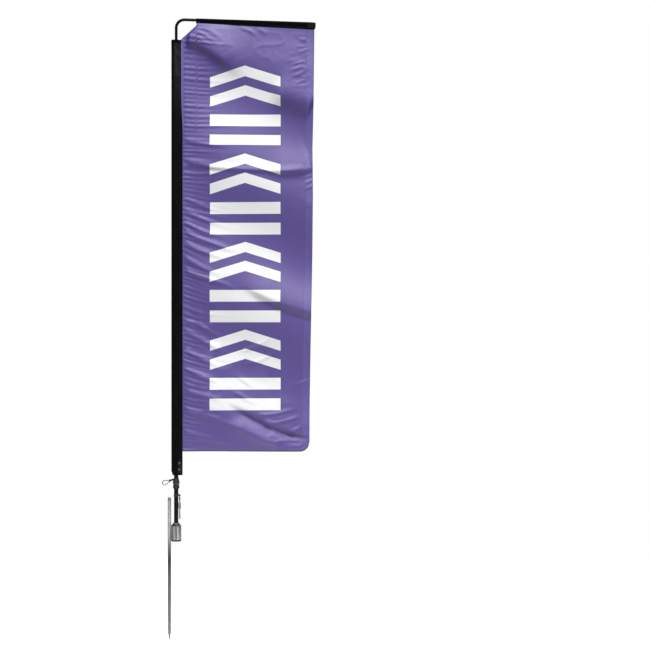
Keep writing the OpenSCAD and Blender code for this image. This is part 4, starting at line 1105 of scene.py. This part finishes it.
cordLow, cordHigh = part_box("hook_cord")
hookX = (cordLow.x + cordHigh.x) / 2
cord = {"exit": (hookX, 0.0, cordHigh.z - 0.0106), "length": 0.0300, "diameter": 0.004, "eye": 0.0045,
        "eyeWire": 0.0032}


def tubeMesh(name, path, radius, around, look, closed=False):
    # A round section carried along a path in the XZ or YZ plane: each ring stands square to the path.
    path = np.asarray(path, float)
    ahead = np.gradient(path, axis=0) if not closed else np.roll(path, -1, 0) - np.roll(path, 1, 0)
    ahead /= np.linalg.norm(ahead, axis=1, keepdims=True)
    side = np.tile([1.0, 0.0, 0.0], (len(path), 1))
    up = np.cross(ahead, side)
    up /= np.linalg.norm(up, axis=1, keepdims=True)
    turn = np.linspace(0, 2 * np.pi, around, endpoint=False)
    sideways, upwards = np.cos(turn)[None, :, None], np.sin(turn)[None, :, None]
    grid = path[:, None] + radius * (sideways * side[:, None] + upwards * up[:, None])
    far = np.concatenate([[0], np.cumsum(np.linalg.norm(np.diff(path, axis=0), axis=1))])
    share = np.linspace(0, 1, around + 1)
    grid = np.concatenate([grid, grid[:, :1]], axis=1)
    if closed:
        grid, far = np.concatenate([grid, grid[:1]]), np.append(far, far[-1] + far[1])
    else:
        ends = np.repeat(path[[0, -1], None], around + 1, axis=1)
        grid, far = np.concatenate([ends[:1], grid, ends[1:]]), np.concatenate([far[:1], far, far[-1:]])
    flat = np.stack(np.broadcast_arrays(share[None, :], far[:, None]), axis=-1)
    return gridMesh(name, grid, flat, look)


def mergeSeams(piece):
    tool = piece.modifiers.new("seams", "WELD")
    tool.merge_threshold = 0.00001


def buildHookCord():
    top, bottom = cord["exit"][2], cord["exit"][2] - cord["length"]
    heights = np.linspace(top, bottom, 40)
    path = np.stack([np.full(40, hookX), np.zeros(40), heights], axis=-1)
    piece = tubeMesh("hookCord", path, cord["diameter"] / 2, 20, "cord")
    turn = np.linspace(0, 2 * np.pi, 48, endpoint=False)
    middle = cordHigh.z - cord["eye"] - cord["eyeWire"] / 2
    loop = np.stack([np.full(48, hookX), cord["eye"] * np.sin(turn), middle + cord["eye"] * np.cos(turn)],
                    axis=-1)
    eye = tubeMesh("cordEye", loop, cord["eyeWire"] / 2, 16, "cord", closed=True)
    for made in (piece, eye):
        mergeSeams(made)
    return piece, eye, path


print("building the flag")
flagPanel = buildPanel()
sideHem, footHem = buildHems()
hemStitches = buildHemStitches()
poleSleeve, sleeveAround = buildPoleSleeve()
seamTape = buildSeamTape()
sleeveThread = sleeveStitches()
topSleevePiece, topAround = buildTopSleeve()
armPocket = buildArmPocket()
topThread = topStitches()
frontWebbing, backWebbing = buildTailWebbing(-1, "tailWebbingFront"), buildTailWebbing(1, "tailWebbingBack")
tailThread = tailStitches()
strap = buildStrap()
hookCord, cordEye, cordPath = buildHookCord()
print("flag built; sleeve girths", round(sleeveAround, 4), round(topAround, 4))

for piece in (flagPanel, sideHem, footHem, hemStitches, poleSleeve, seamTape, sleeveThread, topSleevePiece,
              armPocket,
              topThread, frontWebbing, backWebbing, tailThread):
    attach(piece, "flag_pole")
for piece in (hookCord, cordEye):
    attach(piece, "hook")
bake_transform(strap)

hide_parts("flag_panel")
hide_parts("pole_sleeve")
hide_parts("top_sleeve")
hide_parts("arm_pocket")
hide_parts("tail_webbing")
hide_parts("elastic_strap")
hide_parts("hook_cord")


floorDisc = {"middle": 0.5, "radius": 3.2,
             "fadeStart": 0.5, "fadeEnd": 2.9,  # it thins out between these distances
             "glowSeen": 0.86, "glowCast": 0.08}


def buildFloor():
    # A pale disc under the spike's point that thins out to nothing before its rim.
    turn, share = np.meshgrid(np.linspace(0, 2 * np.pi, 73), np.linspace(0.002, 1, 12), indexing="ij")
    radius = floorDisc["radius"] * share
    grid = np.stack([floorDisc["middle"] + radius * np.cos(turn), radius * np.sin(turn),
                     np.full(turn.shape, studio["ground"])], axis=-1)
    made, tree, shader = newMaterial("paleFloor")
    here = put(tree, "ShaderNodeTexCoord").outputs["Object"]
    moved = put(tree, "ShaderNodeMapping")
    moved.inputs["Location"].default_value = (-floorDisc["middle"], 0, 0)
    feed(tree, moved.inputs["Vector"], here)
    far = put(tree, "ShaderNodeVectorMath", operation="LENGTH")
    feed(tree, far.inputs[0], moved.outputs[0])
    fade = put(tree, "ShaderNodeMapRange", interpolation_type="SMOOTHSTEP")
    for label, value in (("Value", far.outputs["Value"]), ("From Min", floorDisc["fadeStart"]),
                         ("From Max", floorDisc["fadeEnd"]), ("To Min", 1.0), ("To Max", 0.0)):
        feed(tree, fade.inputs[label], value)
    feed(tree, shader.inputs["Alpha"], fade.outputs["Result"])
    shader.inputs["Base Color"].default_value = rgba(0.9, 0.9, 0.9)
    shader.inputs["Roughness"].default_value = 0.7
    shader.inputs["Emission Color"].default_value = rgba(1, 1, 1)
    seen = put(tree, "ShaderNodeLightPath").outputs["Is Camera Ray"]
    feed(tree, shader.inputs["Emission Strength"],
         calc(tree, "MULTIPLY_ADD", seen, floorDisc["glowSeen"], floorDisc["glowCast"]))
    looks["floor"] = made
    floor = gridMesh("studioFloor", grid, grid[..., :2], "floor")


buildFloor()
print("all pieces placed")
